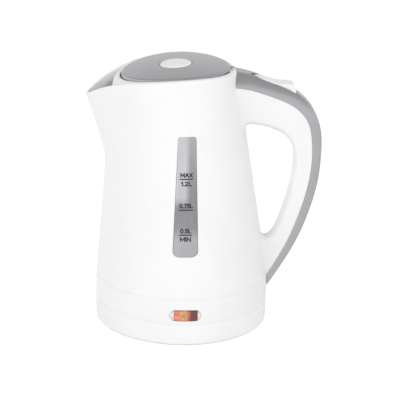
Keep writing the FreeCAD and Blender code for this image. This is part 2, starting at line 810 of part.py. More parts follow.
def jug_body():
    body = jug_solid.common(arch_block)
    grip = handle_solid.common(grip_region).cut(skirt_clear)
    body = body.fuse(grip).cut(handle_hollow)
    seats = [block(switch_x + 2, switch_x + 6, switch_half - 2, switch_z - 12, switch_z - fit_gap),
             block(switch_x + 18, switch_x + 22, switch_half - 2, switch_z - 16, switch_z - fit_gap)]
    for seat in seats:
        body = body.fuse(seat.common(handle_form(casing_wall / 2)))
    boss = screw_line(3.4, base_radius - 4, handle_screw_seat - casing_wall - fit_gap)
    body = body.fuse(boss)
    body = body.cut(cavity)
    body = body.cut(jug_cone(parting_gap, arch_top - 40, arch_top + collar_height).cut(collar_block))
    flange = tube(jug_foot_radius - jug_wall / 2, flange_inner, seat_bottom, seat_bottom + flange_thickness)
    body = body.fuse(flange)
    for x, y in clamp_screw_spots:
        body = body.cut(disc(screw_shank + fit_gap / 2, seat_bottom, seat_bottom + flange_thickness - 0.4, x, y))
    body = body.cut(gauge_outline(fit_gap))
    steam_x = jug_centre(steam_hole_z) + jug_radius(steam_hole_z)
    steam_end = V(steam_x + jug_wall, 0, steam_hole_z)
    body = body.cut(rod(steam_hole_radius, V(steam_x - jug_wall * 2, 0, steam_hole_z), steam_end))
    return body.cut(screw_line(screw_shank + fit_gap / 2, base_radius + 1.0, base_radius + 20))


def top_collar():
    ring = jug_cone(0.0, arch_top - 40, arch_top + collar_height).common(arch_block).cut(collar_block)
    rims = [e for e in ring.Edges if e.BoundBox.ZMax > arch_top - 2 and e.BoundBox.XLength > lid_radius / 2]
    ring = ring.makeFillet(1.8, rims)
    seat = disc(lid_radius + lid_gap, 0, 2 * span, lid_x).cut(under_arch(collar_height - casing_wall))
    ring = ring.cut(seat).cut(disc(mouth_radius, 0, 2 * span, lid_x))
    notch = block(hinge_x - 6, hinge_x + 12, hinge_half, hinge_z - knuckle_radius - 1.0, arch_top + 10)
    ring = ring.cut(notch)
    ring = ring.cut(cross_rod(hinge_pin_radius + pin_fit, hinge_x, hinge_z, -hinge_half - 4.0, hinge_half + 4.0))
    keeper = block(lid_front - lid_gap - 2.4, lid_front, latch_width / 2 + 1.0,
                   latch_bottom - 0.8, latch_top + 0.6)
    return ring.cut(keeper)


# Handle cover, switch lever and steam switch

lever_pivot_x = handle_top.x + lever_pivot[0]
lever_pivot_z = handle_top.z + lever_pivot[1]
rocker_z = lever_pivot_z - lever_tail - rocker_arm
cheek_y = lever_width / 2 + 1.4


def lever_plan(grow):
    front = handle_top.x + lever_line[0][0]
    back = handle_top.x + lever_heel[1][0]
    half = lever_width / 2 + grow
    low, high = handle_top.z - 40, handle_top.z + 10
    nose = disc(half, low, high, front - grow + half)
    return nose.fuse(block(front - grow + half, back + grow, half, low, high)).removeSplitter()


def handle_cover():
    cover = handle_solid.cut(grip_region).cut(handle_hollow).cut(body_clear).cut(skirt_clear)
    cheeks = []
    for side in (-1, 1):
        cheek = block(lever_pivot_x - 4, lever_pivot_x + 4, 3.0, lever_pivot_z - 3.5, handle_top.z)
        cheek.translate(V(0, side * (cheek_y + 3.0), 0))
        cheeks.append(cheek.common(handle_form(casing_wall / 2)).cut(grip_region))
    boss = screw_line(4.6, handle_screw_seat - casing_wall, handle_screw_seat + 12)
    cover = joined(cover, cheeks + [boss.common(handle_form(casing_wall / 2))])
    cover = cover.cut(lever_plan(run_gap))
    pin_end = cheek_y + 2.2
    cover = cover.cut(cross_rod(lever_pin_radius + pin_fit, lever_pivot_x, lever_pivot_z, -pin_end, pin_end))
    cover = cover.cut(screw_line(screw_shank + fit_gap, base_radius, base_radius + 40))
    return cover.cut(screw_line(screw_head + run_gap, handle_screw_seat, base_radius + 40))


def handle_screw():
    head = screw_line(screw_head, handle_screw_seat, handle_screw_seat + screw_head_height)
    return head.fuse(screw_line(screw_shank, base_radius + 2.0, handle_screw_seat)).removeSplitter()


def lever_pin():
    return cross_rod(lever_pin_radius, lever_pivot_x, lever_pivot_z, -cheek_y - 2.0, cheek_y + 2.0)


def switch_lever():
    points = [(handle_top.x + x, handle_top.z + z) for x, z in lever_line]
    spline = curve(points)
    heel = [V(handle_top.x + x, 0, handle_top.z + z) for x, z in lever_heel]
    side = prism([spline.toShape()] + closing([spline.EndPoint] + heel + [spline.StartPoint]), lever_width)
    lever = side.common(lever_plan(0.0))
    hub = cross_rod(lever_hub_radius, lever_pivot_x, lever_pivot_z, -lever_width / 2 + 1, lever_width / 2 - 1)
    tail = block(lever_pivot_x - 0.9, lever_pivot_x + 0.9, 2.2, lever_pivot_z - lever_tail, lever_pivot_z)
    cross = cross_rod(cross_pin_radius, lever_pivot_x, lever_pivot_z - lever_tail, -2.2, 2.2)
    lever = joined(lever, [hub, tail, cross])
    bore = lever_pin_radius + pin_fit
    return lever.cut(cross_rod(bore, lever_pivot_x, lever_pivot_z, -lever_width, lever_width))


def steam_switch():
    body = block(switch_x, switch_x + switch_length, switch_half, switch_z, switch_z + switch_height)
    ring = rod(7.4, V(switch_x - 1.0, 0, bimetal_z), V(switch_x, 0, bimetal_z))
    body = body.fuse(ring.cut(block(switch_x - 2, switch_x, 9, switch_z + switch_height, span * 2)))
    slot = block(lever_pivot_x - 7, lever_pivot_x + 7, 3.2, switch_z + 3.0, switch_z + switch_height + 1)
    body = body.cut(slot)
    return body.cut(cross_rod(rocker_pin_radius + pin_fit, lever_pivot_x, rocker_z, -6.0, 6.0))


def trip_rocker():
    hub = cross_rod(3.0, lever_pivot_x, rocker_z, -2.8, 2.8)
    arm = block(lever_pivot_x - 4.2, lever_pivot_x + 4.2, 2.8, rocker_z, rocker_z + rocker_arm + 1.6)
    gap = cross_pin_radius + run_gap
    fork_low = rocker_z + rocker_arm - 2.4
    arm = arm.cut(block(lever_pivot_x - gap, lever_pivot_x + gap, 3.0, fork_low, handle_top.z))
    return joined(hub, [arm]).cut(cross_rod(rocker_pin_radius + pin_fit, lever_pivot_x, rocker_z, -3.0, 3.0))


def rocker_pin():
    return cross_rod(rocker_pin_radius, lever_pivot_x, rocker_z, -5.8, 5.8)


def bimetal_disc():
    return rod(6.4, V(switch_x - 1.8, 0, bimetal_z), V(switch_x - 1.2, 0, bimetal_z))


blade_x = switch_x + switch_length - 6.0


def switch_blades():
    blades = []
    for side in (-1, 1):
        blade = block(blade_x, blade_x + 5.0, 0.4, switch_z - 6.0, switch_z)
        blade.translate(V(0, side * wire_spread, 0))
        blades.append(blade)
    return Part.makeCompound(blades)


def handle_wires():
    mid = [(o + h) * 0.5 for o, h, w in handle_stations()]
    leads = []
    for side in (-1, 1):
        y = V(0, side * wire_spread, 0)
        start = V(blade_x + 2.5, 0, switch_z - 6.0)
        route = [start, start + V(0, 0, -2.6), mid[5] + V(-3, 0, 2), mid[6], mid[7], mid[8]]
        route += [mid[9] + V(1, 0, 0), V(base_radius + 6.0, 0, jug_bottom + 17),
                  V(base_radius + 2.6, 0, jug_bottom - 2),
                  V(base_radius - 1.5, 0, wire_entry_z + 0.8), V(base_radius - 8, 0, wire_entry_z - 0.4),
                  V(base_radius - 24, 0, wire_entry_z - 0.8)]
        route = [p + y for p in route]
        edge = math.sqrt(control_radius ** 2 - wire_spread ** 2) + fit_gap
        route.append(V(edge, y.y, wire_entry_z - 2.0))
        leads.append(led_wire(route, wire_radius))
    return Part.makeCompound(leads)


# Lid with its button, latch and hinge

def lid_dome(rise):
    # A barrel about the arch's axis, slightly crowned from front to back
    top = arch_radius + rise
    half = lid_radius + 10
    edge = top - (lid_crown - lid_rim_rise) * (half / lid_radius) ** 2
    base = V(arch_x, 0, arch_z)
    crown = Part.Arc(base + V(0, -half, edge), base + V(0, 0, top), base + V(0, half, edge)).toShape()
    sides = closing([base + V(0, half, edge), base + V(0, half, edge / 2), base + V(0, -half, edge / 2),
                     base + V(0, -half, edge)])
    face = Part.Face(Part.Wire([crown] + sides))
    face.rotate(base, V(0, 1, 0), -30)
    return face.revolve(base, V(0, 1, 0), 60)


def lid_column(radius):
    return disc(radius, arch_top - lid_radius, arch_top + lid_radius, lid_x)


latch_slot = block(lid_front - 2, lid_x - 14, latch_width / 2 + run_gap,
                   latch_bottom - run_gap, latch_top + run_gap)
tab_top = hinge_z + 1.0
tab_bottom = hinge_z - 2.0


def lid_cover():
    cap = lid_column(lid_radius).common(lid_dome(lid_crown))
    rims = [e for e in cap.Edges if e.BoundBox.ZMin > arch_top - 25 and e.BoundBox.YLength > lid_radius]
    cap = cap.makeFillet(1.6, rims).cut(under_arch(lid_skirt_depth))
    hollow = lid_column(lid_radius - lid_shell).common(lid_dome(lid_crown - lid_shell))
    cap = cap.cut(hollow).cut(lid_column(button_radius + run_gap)).cut(latch_slot)
    return cap.cut(block(hinge_x - 12, hinge_x + 6, hinge_half, tab_bottom - 6, tab_top + run_gap))


guide_radius = 3.3
guide_top = liner_bottom + 12.0


def lid_liner():
    # White inner lid: a cup below the rim, the button's guide, the latch's rest and the hinge tab
    rim = lid_column(lid_radius - 0.6)
    rim = rim.common(under_arch(lid_skirt_depth + 0.1)).cut(under_arch(lid_skirt_depth + liner_flange))
    inner = liner_radius - lid_shell
    cup = disc(liner_radius, liner_bottom, arch_top, lid_x).common(under_arch(lid_skirt_depth + 0.1))
    cup = joined(cup, [rim]).cut(disc(inner, liner_bottom + lid_shell, arch_top + lid_radius, lid_x))
    guide = disc(guide_radius + 1.4, liner_bottom, guide_top, lid_x)
    rest = block(lid_x - 26, lid_x - 20, latch_width / 2, liner_bottom, latch_bottom - fit_gap)
    tab = block(lid_x + inner - 1, hinge_x, hinge_half - run_gap, tab_bottom, tab_top)
    root = block(lid_x + inner - 1, lid_x + lid_radius - 3.0, hinge_half - run_gap, tab_bottom - 6, tab_bottom)
    knuckle = cross_rod(knuckle_radius, hinge_x, hinge_z, -hinge_half + run_gap, hinge_half - run_gap)
    liner = joined(cup, [guide, rest, tab, root.cut(under_arch(collar_height - casing_wall - 0.5)), knuckle])
    liner = liner.cut(disc(guide_radius, liner_bottom + lid_shell, guide_top + 1, lid_x)).cut(latch_slot)
    spring_room = block(hinge_x - knuckle_radius - run_gap, hinge_x + 4, hinge_half / 2,
                        hinge_z - 4, hinge_z + 4)
    spring_room.translate(V(0, hinge_half / 2 + 2.0, 0))
    liner = liner.cut(spring_room)
    return liner.cut(cross_rod(hinge_pin_radius + pin_fit, hinge_x, hinge_z, -span, span))


def lid_hinge_pin():
    return cross_rod(hinge_pin_radius, hinge_x, hinge_z, -hinge_half - 3.8, hinge_half + 3.8)


def lid_spring():
    return coil(V(hinge_x, 2.6, hinge_z), V(0, 1, 0), V(1, 0, 0), 1.62, 0.3, 1.05, 4)


stem_radius = guide_radius - 0.3
cap_bottom = arch_line(lid_x) + lid_crown - lid_shell - 3.2
cam_left = lid_x - 15.6
cam_width = 3.0
cam_bottom = latch_bottom - 1.8


def cam_face(left, right, z0, z1, half):
    # A leg with both faces at 45 degrees
    shift = z1 - z0
    points = [V(left, 0, z0), V(right, 0, z0), V(right + shift, 0, z1), V(left + shift, 0, z1), V(left, 0, z0)]
    return prism(closing(points), half)


def lid_button():
    cap = disc(button_radius, cap_bottom, arch_top + lid_radius, lid_x).common(lid_dome(lid_crown + button_rise))
    rims = [e for e in cap.Edges if e.BoundBox.ZMin > cap_bottom + 1 and e.BoundBox.YLength > button_radius]
    cap = cap.makeFillet(1.4, rims)
    stem = disc(stem_radius, liner_bottom + lid_shell + button_travel + 0.6, cap_bottom + 1, lid_x)
    lean = 6.6
    cam = cam_face(cam_left, cam_left + cam_width, cam_bottom, cam_bottom + lean, cam_half)
    post = block(cam_left + lean, cam_left + lean + cam_width, cam_half, cam_bottom + lean, cap_bottom + 1)
    return joined(cap, [stem, cam, post])


def button_spring():
    bottom = liner_bottom + lid_shell + 0.1
    turns = 6
    wire = 0.4
    pitch = (cap_bottom - 0.1 - bottom - 2 * wire) / turns
    return coil(V(lid_x, 0, bottom + wire), V(0, 0, 1), V(1, 0, 0), guide_radius + 2.3, wire, pitch, turns)


def lid_latch():
    bar = block(lid_front - 0.6, cam_left + 16, latch_width / 2, latch_bottom, latch_top)
    rise = latch_bottom - cam_bottom
    slot = cam_face(cam_left + rise - run_gap, cam_left + rise + cam_width + run_gap,
                    latch_bottom, latch_top, cam_half + run_gap)
    bar = bar.cut(slot)
    clear = guide_radius + 3.4
    room = disc(clear, latch_bottom - 1, latch_top + 1, lid_x)
    return bar.cut(room.fuse(block(lid_x - clear - button_travel, lid_x + lid_radius, latch_width,
                                   latch_bottom - 1, latch_top + 1)))


pieces = [
    base_housing, base_bottom_cover, base_feet, base_screws, base_socket, base_live_contact,
    base_neutral_contact, base_earth_contact, socket_screws, cord_gland,
    lower_skirt, kettle_bottom_cover, bottom_cover_screws, lamp_lens, lamp_holder, neon_lamp,
    heater_plate, plate_seal, clamp_ring, clamp_screws, heat_spreader, heating_element, element_terminals,
    control_housing, control_screws, boil_dry_discs, live_pin, neutral_ring, earth_ring,
    jug_body, water_gauge, filter_frame, filter_mesh, top_collar,
    handle_cover, handle_screw, lever_pin, switch_lever, steam_switch, trip_rocker, rocker_pin,
    bimetal_disc, switch_blades, handle_wires,
    lid_cover, lid_liner, lid_hinge_pin, lid_spring, lid_button, button_spring, lid_latch,
]

os.makedirs("parts", exist_ok=True)
for piece in pieces:
    solid = piece()
    name = piece.__name__
    box = solid.BoundBox
    print(name, len(solid.Solids), solid.isValid(), round(solid.Volume, 1),
          [round(v, 1) for v in (box.XMin, box.XMax, box.YMin, box.YMax, box.ZMin, box.ZMax)])
    solid.exportStep("parts/" + name + ".step")
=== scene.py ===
import bpy
import bmesh
import json
import math
import numpy as np
from mathutils import Matrix, Vector


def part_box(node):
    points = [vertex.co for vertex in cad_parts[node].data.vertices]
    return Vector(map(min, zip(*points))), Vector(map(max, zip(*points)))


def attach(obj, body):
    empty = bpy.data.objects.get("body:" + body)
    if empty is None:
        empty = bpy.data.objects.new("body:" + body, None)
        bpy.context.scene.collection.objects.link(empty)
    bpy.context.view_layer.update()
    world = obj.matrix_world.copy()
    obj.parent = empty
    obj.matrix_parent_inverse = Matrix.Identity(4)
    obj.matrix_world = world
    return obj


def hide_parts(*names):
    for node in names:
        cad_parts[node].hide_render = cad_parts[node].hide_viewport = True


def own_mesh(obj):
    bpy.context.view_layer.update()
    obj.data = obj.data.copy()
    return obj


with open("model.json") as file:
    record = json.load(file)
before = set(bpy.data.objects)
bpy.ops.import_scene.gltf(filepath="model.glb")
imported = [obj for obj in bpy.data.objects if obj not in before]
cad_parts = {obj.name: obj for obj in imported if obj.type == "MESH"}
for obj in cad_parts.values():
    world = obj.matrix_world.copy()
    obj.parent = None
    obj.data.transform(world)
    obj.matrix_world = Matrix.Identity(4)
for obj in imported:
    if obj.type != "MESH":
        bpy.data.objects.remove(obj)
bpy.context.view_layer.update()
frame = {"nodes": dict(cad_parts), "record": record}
scene = bpy.context.scene
mm = 0.001
fullTurn, quarterTurn = 2 * math.pi, math.pi / 2
print("frame loaded:", len(frame["nodes"]), "nodes")

scene.view_settings.view_transform = "Standard"

shot = {
    "place": (-62.1, -1360.8, 570.6), "lens": 155.3, "sensor": 36.0,  # mm
    "turn": -3.2, "pitch": 19.0, "roll": 1.6,  # degrees
    "clip": (0.05, 30.0),  # m
}


def setCamera(s):
    pitch, roll, turn = (math.radians(s[k]) for k in ("pitch", "roll", "turn"))
    forward = Vector((0, math.cos(pitch), -math.sin(pitch)))
    level = Vector((1, 0, 0))
    rise = Vector((0, math.sin(pitch), math.cos(pitch)))
    right = level * math.cos(roll) + rise * math.sin(roll)
    up = rise * math.cos(roll) - level * math.sin(roll)
    pose = Matrix((right, up, -forward)).transposed().to_4x4()
    pose = Matrix.Rotation(turn, 4, "Z") @ pose
    pose.translation = Vector(s["place"]) * mm
    lensData = bpy.data.cameras.new("camera")
    lensData.lens, lensData.sensor_width = s["lens"], s["sensor"]
    lensData.clip_start, lensData.clip_end = s["clip"]
    camera = bpy.data.objects.new("camera", lensData)
    camera.matrix_world = pose
    scene.collection.objects.link(camera)
    scene.camera = camera


setCamera(shot)
print("camera set")


# finishes

def startMaterial(name):
    material = bpy.data.materials.new(name)
    material.use_nodes = True
    tree = material.node_tree
    spot = tree.nodes.new("ShaderNodeTexCoord").outputs["Object"]
    return material, tree, tree.nodes["Principled BSDF"], spot


def setSockets(node, **values):
    for key, value in values.items():
        node.inputs[key.replace("_", " ")].default_value = value


def addNode(tree, kind, source, socket, settings=None, **values):
    # a node that is fed from one source
    node = tree.nodes.new(kind)
    for key, value in (settings or {}).items():
        setattr(node, key, value)
    tree.links.new(source, node.inputs[socket])
    setSockets(node, **values)
    return node


def addNoise(tree, source, scale, detail):
    return addNode(tree, "ShaderNodeTexNoise", source, "Vector", Scale=scale, Detail=detail).outputs["Fac"]


def stretched(tree, source, scale):
    return addNode(tree, "ShaderNodeMapping", source, "Vector", Scale=scale).outputs["Vector"]


def splitSpot(tree, spot):
    split = addNode(tree, "ShaderNodeSeparateXYZ", spot, "Vector")
    return split.outputs["X"], split.outputs["Z"]


def addRange(tree, source, low, high, soft=False, start=0.0, end=1.0):
    settings = {"interpolation_type": "SMOOTHSTEP" if soft else "LINEAR"}
    return addNode(tree, "ShaderNodeMapRange", source, "Value", settings, From_Min=low, From_Max=high,
                   To_Min=start, To_Max=end).outputs["Result"]


def addRamp(tree, source, stops):
    ramp = addNode(tree, "ShaderNodeValToRGB", source, "Fac")
    bar = ramp.color_ramp
    while len(bar.elements) < len(stops):
        bar.elements.new(0.5)
    for element, (at, colour) in zip(bar.elements, stops):
        element.position = at
        element.color = (*colour, 1.0)
    return ramp.outputs["Color"]


def addMix(tree, first, second, factor=None):
    # blended by a factor, or multiplied where there is none
    mix = tree.nodes.new("ShaderNodeMix")
    mix.data_type = "RGBA"
    if factor is None:
        mix.blend_type = "MULTIPLY"
        mix.inputs["Factor"].default_value = 1.0
    else:
        tree.links.new(factor, mix.inputs["Factor"])
    tree.links.new(first, mix.inputs["A"])
    tree.links.new(second, mix.inputs["B"])
    return mix.outputs["Result"]


def addMath(tree, operation, first, second):
    node = addNode(tree, "ShaderNodeMath", first, 0, {"operation": operation})
    tree.links.new(second, node.inputs[1])
    return node.outputs["Value"]


def grey(value):
    return (value, value, value)


smokeTint = (0.985, 0.995, 1.03)


def smoke(stops):
    return [(at, tuple(value * tint for tint in smokeTint)) for at, value in stops]


def addShade(tree, shader, source, shades, span):
    tree.links.new(addRamp(tree, source, list(zip(span, shades))), shader.inputs["Base Color"])


def addGloss(tree, shader, source, rough, spread):
    stops = [(0.3, grey(rough - spread)), (0.7, grey(rough + spread))]
    tree.links.new(addRamp(tree, source, stops), shader.inputs["Roughness"])


def addBump(tree, shader, height, strength, distance):
    bump = addNode(tree, "ShaderNodeBump", height, "Height", Strength=strength, Distance=distance)
    tree.links.new(bump.outputs["Normal"], shader.inputs["Normal"])


def mouldedPlastic(s):
    # fine spark-eroded grain, with soft drifts of shade and gloss
    material, tree, shader, spot = startMaterial(s["name"])
    drift, grain = addNoise(tree, spot, s["drift"], 3.0), addNoise(tree, spot, s["grain"], 2.0)
    addShade(tree, shader, drift, s["shade"], (0.35, 0.65))
    addGloss(tree, shader, grain, s["rough"], 0.04)
    setSockets(shader, IOR=1.5, Coat_Weight=s.get("coat", 0.0), Coat_Roughness=0.12,
               Metallic=s.get("metal", 0.0))
    addBump(tree, shader, grain, s["bump"], 0.0002)
    return material


def brushedMetal(s):
    # lines drawn along one way, as left by the wheel
    material, tree, shader, spot = startMaterial(s["name"])
    lines = addNoise(tree, stretched(tree, spot, s["stretch"]), s["grain"], 4.0)
    addShade(tree, shader, lines, s["shade"], (0.3, 0.7))
    addGloss(tree, shader, lines, s["rough"], 0.08)
    setSockets(shader, Metallic=1.0)
    addBump(tree, shader, lines, 0.08, 0.0001)
    return material


def gaugePlastic(s):
    # smoky see-through strip with painted light and shade: a painted pale sheen on its upper left, painted shade
    # darker below the middle
    material, tree, shader, spot = startMaterial(s["name"])
    x, z = splitSpot(tree, spot)
    height = addRange(tree, z, s["foot"] * mm, s["top"] * mm)
    # share from the side with the painted sheen to the other side
    across = addRange(tree, x, s["paintedSheen"][0] * mm, s["paintedSheen"][1] * mm, soft=True)
    left, right = (addRamp(tree, height, smoke(s[side])) for side in ("left", "right"))
    streak = addNoise(tree, stretched(tree, spot, (1.0, 1.0, 0.12)), 260.0, 1.5)
    streak = addRamp(tree, streak, [(0.3, grey(0.9)), (0.7, grey(1.0))])
    shade = addMix(tree, addMix(tree, left, right, across), streak)
    tree.links.new(shade, shader.inputs["Base Color"])
    setSockets(shader, Roughness=s["rough"], Transmission_Weight=s["clear"], IOR=1.5)
    return material


def lampPlastic(s):
    # clear pill with the lamp's lit window in its middle and the dark electrode at the right
    material, tree, shader, spot = startMaterial(s["name"])
    x, z = splitSpot(tree, spot)
    across = addRange(tree, x, s["left"] * mm, s["right"] * mm)
    height = addRange(tree, z, s["low"] * mm, s["high"] * mm)
    speck = addNoise(tree, spot, 420.0, 3.0)
    mottle = addRamp(tree, speck, [(0.35, grey(0.62)), (0.62, grey(1.0))])
    edge = addRamp(tree, height, [(0.0, grey(0.6)), (0.14, grey(1.0)), (0.82, grey(1.0)), (0.96, grey(0.7))])
    (left, right), (warm, cool), (soft, sharp) = s["window"], s["middle"], s["fade"]
    clear, lit, core, dark = (s[k] for k in ("clear", "lit", "core", "dark"))
    shade = addRamp(tree, across, [
        (left - sharp, clear), (left, lit), (warm, lit), (warm + soft, core), (cool, core), (cool + soft, lit),
        (s["electrode"], dark), (right, dark), (right + sharp, clear)])
    for layer in (mottle, edge):
        shade = addMix(tree, shade, layer)
    for socket in ("Base Color", "Emission Color"):
        tree.links.new(shade, shader.inputs[socket])
    setSockets(shader, Emission_Strength=s["light"], Roughness=0.14, Coat_Weight=0.4)
    return material


def plainInk(s):
    material, tree, shader, spot = startMaterial(s["name"])
    addShade(tree, shader, addNoise(tree, spot, 1400.0, 2.0), s["shade"], (0.35, 0.75))
    setSockets(shader, Roughness=0.5)
    return material


finish = {
    "white": mouldedPlastic({"name": "whitePlastic", "shade": (grey(0.89), grey(0.91)), "rough": 0.34,
                             "drift": 24.0, "grain": 2600.0, "bump": 0.05, "coat": 0.12}),
    "whiteMatte": mouldedPlastic({"name": "whiteMatte", "shade": (grey(0.76), grey(0.80)), "rough": 0.55,
                                  "drift": 30.0, "grain": 1800.0, "bump": 0.12}),
    "grey": mouldedPlastic({"name": "greySatin", "shade": ((0.470, 0.474, 0.493), (0.490, 0.494, 0.513)),
                            "rough": 0.34, "drift": 40.0, "grain": 2200.0, "bump": 0.10, "metal": 0.8}),
    "black": mouldedPlastic({"name": "blackPlastic", "shade": (grey(0.018), grey(0.03)), "rough": 0.5,
                             "drift": 60.0, "grain": 1600.0, "bump": 0.15}),
    "rubber": mouldedPlastic({"name": "darkRubber", "shade": (grey(0.035), grey(0.055)), "rough": 0.75,
                              "drift": 80.0, "grain": 1200.0, "bump": 0.2}),
    "wire": mouldedPlastic({"name": "wireSleeve", "shade": ((0.10, 0.04, 0.025), (0.14, 0.06, 0.035)),
                            "rough": 0.4, "drift": 90.0, "grain": 900.0, "bump": 0.08}),
    "mesh": mouldedPlastic({"name": "nylonMesh", "shade": (grey(0.66), grey(0.74)), "rough": 0.5,
                            "drift": 200.0, "grain": 2600.0, "bump": 0.1}),
    "steel": brushedMetal({"name": "brushedSteel", "shade": (grey(0.55), grey(0.68)), "rough": 0.3,
                           "grain": 180.0, "stretch": (1.0, 14.0, 14.0)}),
    "aluminium": brushedMetal({"name": "castAluminium", "shade": (grey(0.62), grey(0.74)), "rough": 0.42,
                               "grain": 320.0, "stretch": (3.0, 3.0, 3.0)}),
    "brass": brushedMetal({"name": "brassSheet", "shade": ((0.60, 0.42, 0.17), (0.72, 0.53, 0.24)),
                           "rough": 0.3, "grain": 240.0, "stretch": (8.0, 8.0, 1.0)}),
    "gauge": gaugePlastic({
        "name": "smokyGauge", "rough": 0.2, "clear": 0.1,
        "foot": 75.7, "top": 173.1, "paintedSheen": (-2.2, 3.2),  # mm
        # painted sheen and painted shade: greys up the height on the sheen side (left) and on the other side
        # (right)
        "left": [(0.0, 0.49), (0.15, 0.49), (0.24, 0.33), (0.41, 0.30), (0.50, 0.63), (1.0, 0.66)],
        "right": [(0.0, 0.49), (0.15, 0.48), (0.24, 0.30), (0.48, 0.30), (0.72, 0.38), (1.0, 0.47)]}),
    "lamp": lampPlastic({
        "name": "lampLens", "light": 0.05, "clear": (0.90, 0.84, 0.83), "lit": (0.86, 0.25, 0.15),
        "core": (0.72, 0.35, 0.15), "dark": (0.16, 0.034, 0.038),
        "left": -12.5, "right": 13.9, "low": 22.0, "high": 31.4,  # mm
        "window": (0.15, 0.87), "middle": (0.30, 0.50), "electrode": 0.68, "fade": (0.06, 0.02)}),  # shares of it
    "ink": plainInk({"name": "markInk", "shade": (grey(0.015), grey(0.035))}),
}

slotFinish = {
    "white_plastic": "white", "white_cover": "whiteMatte", "grey_plastic": "grey", "clear_gauge": "gauge",
    "lamp_clear": "lamp", "lamp_glow": "lamp", "black_plastic": "black", "rubber": "rubber", "steel": "steel",
    "aluminium": "aluminium", "brass": "brass", "mesh": "mesh", "wire_cover": "wire",
}
for part in frame["record"]["subparts"]:
    slots = frame["nodes"][part["node"]].data.materials
    slots.clear()
    slots.append(finish[slotFinish[part["material_slot"]]])
print("finishes made:", len(finish))


# mesh helpers

surface = {"merge": 0.004, "flat": 0.003, "keen": 38.0}  # mm, mm, degrees


def buildPiece(name, points, faces, look):
    mesh = bpy.data.meshes.new(name)
    mesh.from_pydata([(x * mm, y * mm, z * mm) for x, y, z in points], [], faces)
    piece = bpy.data.objects.new(name, mesh)
    scene.collection.objects.link(piece)
    tidySurface(mesh)
    mesh.materials.append(finish[look])
    return piece


def tidySurface(mesh):
    work = bmesh.new()
    work.from_mesh(mesh)
    bmesh.ops.remove_doubles(work, verts=work.verts, dist=surface["merge"] * mm)
    bmesh.ops.dissolve_degenerate(work, edges=work.edges, dist=surface["flat"] * mm)
    bmesh.ops.recalc_face_normals(work, faces=work.faces)
    keen = math.radians(surface["keen"])
    for face in work.faces:
        face.smooth = True
    for edge in work.edges:
        edge.smooth = len(edge.link_faces) == 2 and edge.calc_face_angle(0.0) < keen
    work.to_mesh(mesh)
    work.free()


def place(piece, body, slot, *nodes):
    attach(piece, body)
    if nodes:
        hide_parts(*nodes)
    return piece


def ringFaces(rings, wrapAlong=False):
    # quads between successive rings of equal count
    points = [p for ring in rings for p in ring]
    count = len(rings[0])
    faces = []
    for i in range(len(rings) if wrapAlong else len(rings) - 1):
        a, b = i * count, ((i + 1) % len(rings)) * count
        for k in range(count):
            n = (k + 1) % count
            faces.append((a + k, a + n, b + n, b + k))
    return points, faces


def cappedPiece(name, rings, look, fromFront=False):
    # rings joined up and closed at both ends; outlines seen from the front run the other way round
    points, faces = ringFaces(rings)
    count, total = len(rings[0]), len(points)
    caps = [tuple(range(count))[::-1], tuple(range(total - count, total))]
    faces += [cap[::-1] for cap in caps] if fromFront else caps
    return buildPiece(name, points, faces, look)


def loopedPiece(name, rings, look):
    return buildPiece(name, *ringFaces(rings, wrapAlong=True), look)


def frontCutter(name, outline, depths):
    return cappedPiece(name, [[(x, y, z) for x, z in outline] for y in depths], "white", fromFront=True)


def uprightCutter(name, plan, heights, look):
    return cappedPiece(name, [[(x, y, z) for x, y in plan] for z in heights], look)


def around(count):
    return [fullTurn * k / count for k in range(count)]


def quarter(steps, first=1):
    return [quarterTurn * i / steps for i in range(first, steps + 1)]


def eased(share):
    share = min(max(share, 0.0), 1.0)
    return share * share * (3 - 2 * share)


def roundCorner(before, corner, after, radius, steps):
    # points of a rounded corner in a profile
    p, c, n = (np.array(v, float) for v in (before, corner, after))
    u, w = (p - c) / np.linalg.norm(p - c), (n - c) / np.linalg.norm(n - c)
    half = math.acos(max(-1.0, min(1.0, float(u @ w)))) / 2
    reach = radius / math.tan(half)
    middle = c + (u + w) / np.linalg.norm(u + w) * radius / math.sin(half)
    a, b = c + u * reach - middle, c + w * reach - middle
    turn = math.pi - 2 * half
    return [tuple(middle + (a * math.sin(turn * (1 - t)) + b * math.sin(turn * t)) / math.sin(turn))
            for t in (i / steps for i in range(steps + 1))]


def roundedProfile(corners, steps=5):
    # corners are two coordinates and a rounding
    line = []
    for i, (r, z, rounding) in enumerate(corners):
        if rounding <= 0:
            line.append((r, z))
            continue
        before, after = corners[i - 1][:2], corners[(i + 1) % len(corners)][:2]
        line += roundCorner(before, (r, z), after, rounding, steps)
    return line


def turnedPiece(name, corners, look, count=256):
    rings = [[(r * math.cos(a), r * math.sin(a), z) for a in around(count)]
             for r, z in roundedProfile(corners)]
    return loopedPiece(name, rings, look)


def cutAway(piece, cutter):
    hole = piece.modifiers.new("cut", "BOOLEAN")
    hole.operation, hole.solver, hole.object = "DIFFERENCE", "EXACT", cutter
    hole.material_mode = "TRANSFER"
    bpy.context.view_layer.update()
    cut = bpy.data.meshes.new_from_object(piece.evaluated_get(bpy.context.evaluated_depsgraph_get()))
    piece.modifiers.clear()
    old = piece.data
    cut.name = old.name
    piece.data = cut
    bpy.data.meshes.remove(old)
    bpy.data.objects.remove(cutter)
    tidySurface(cut)


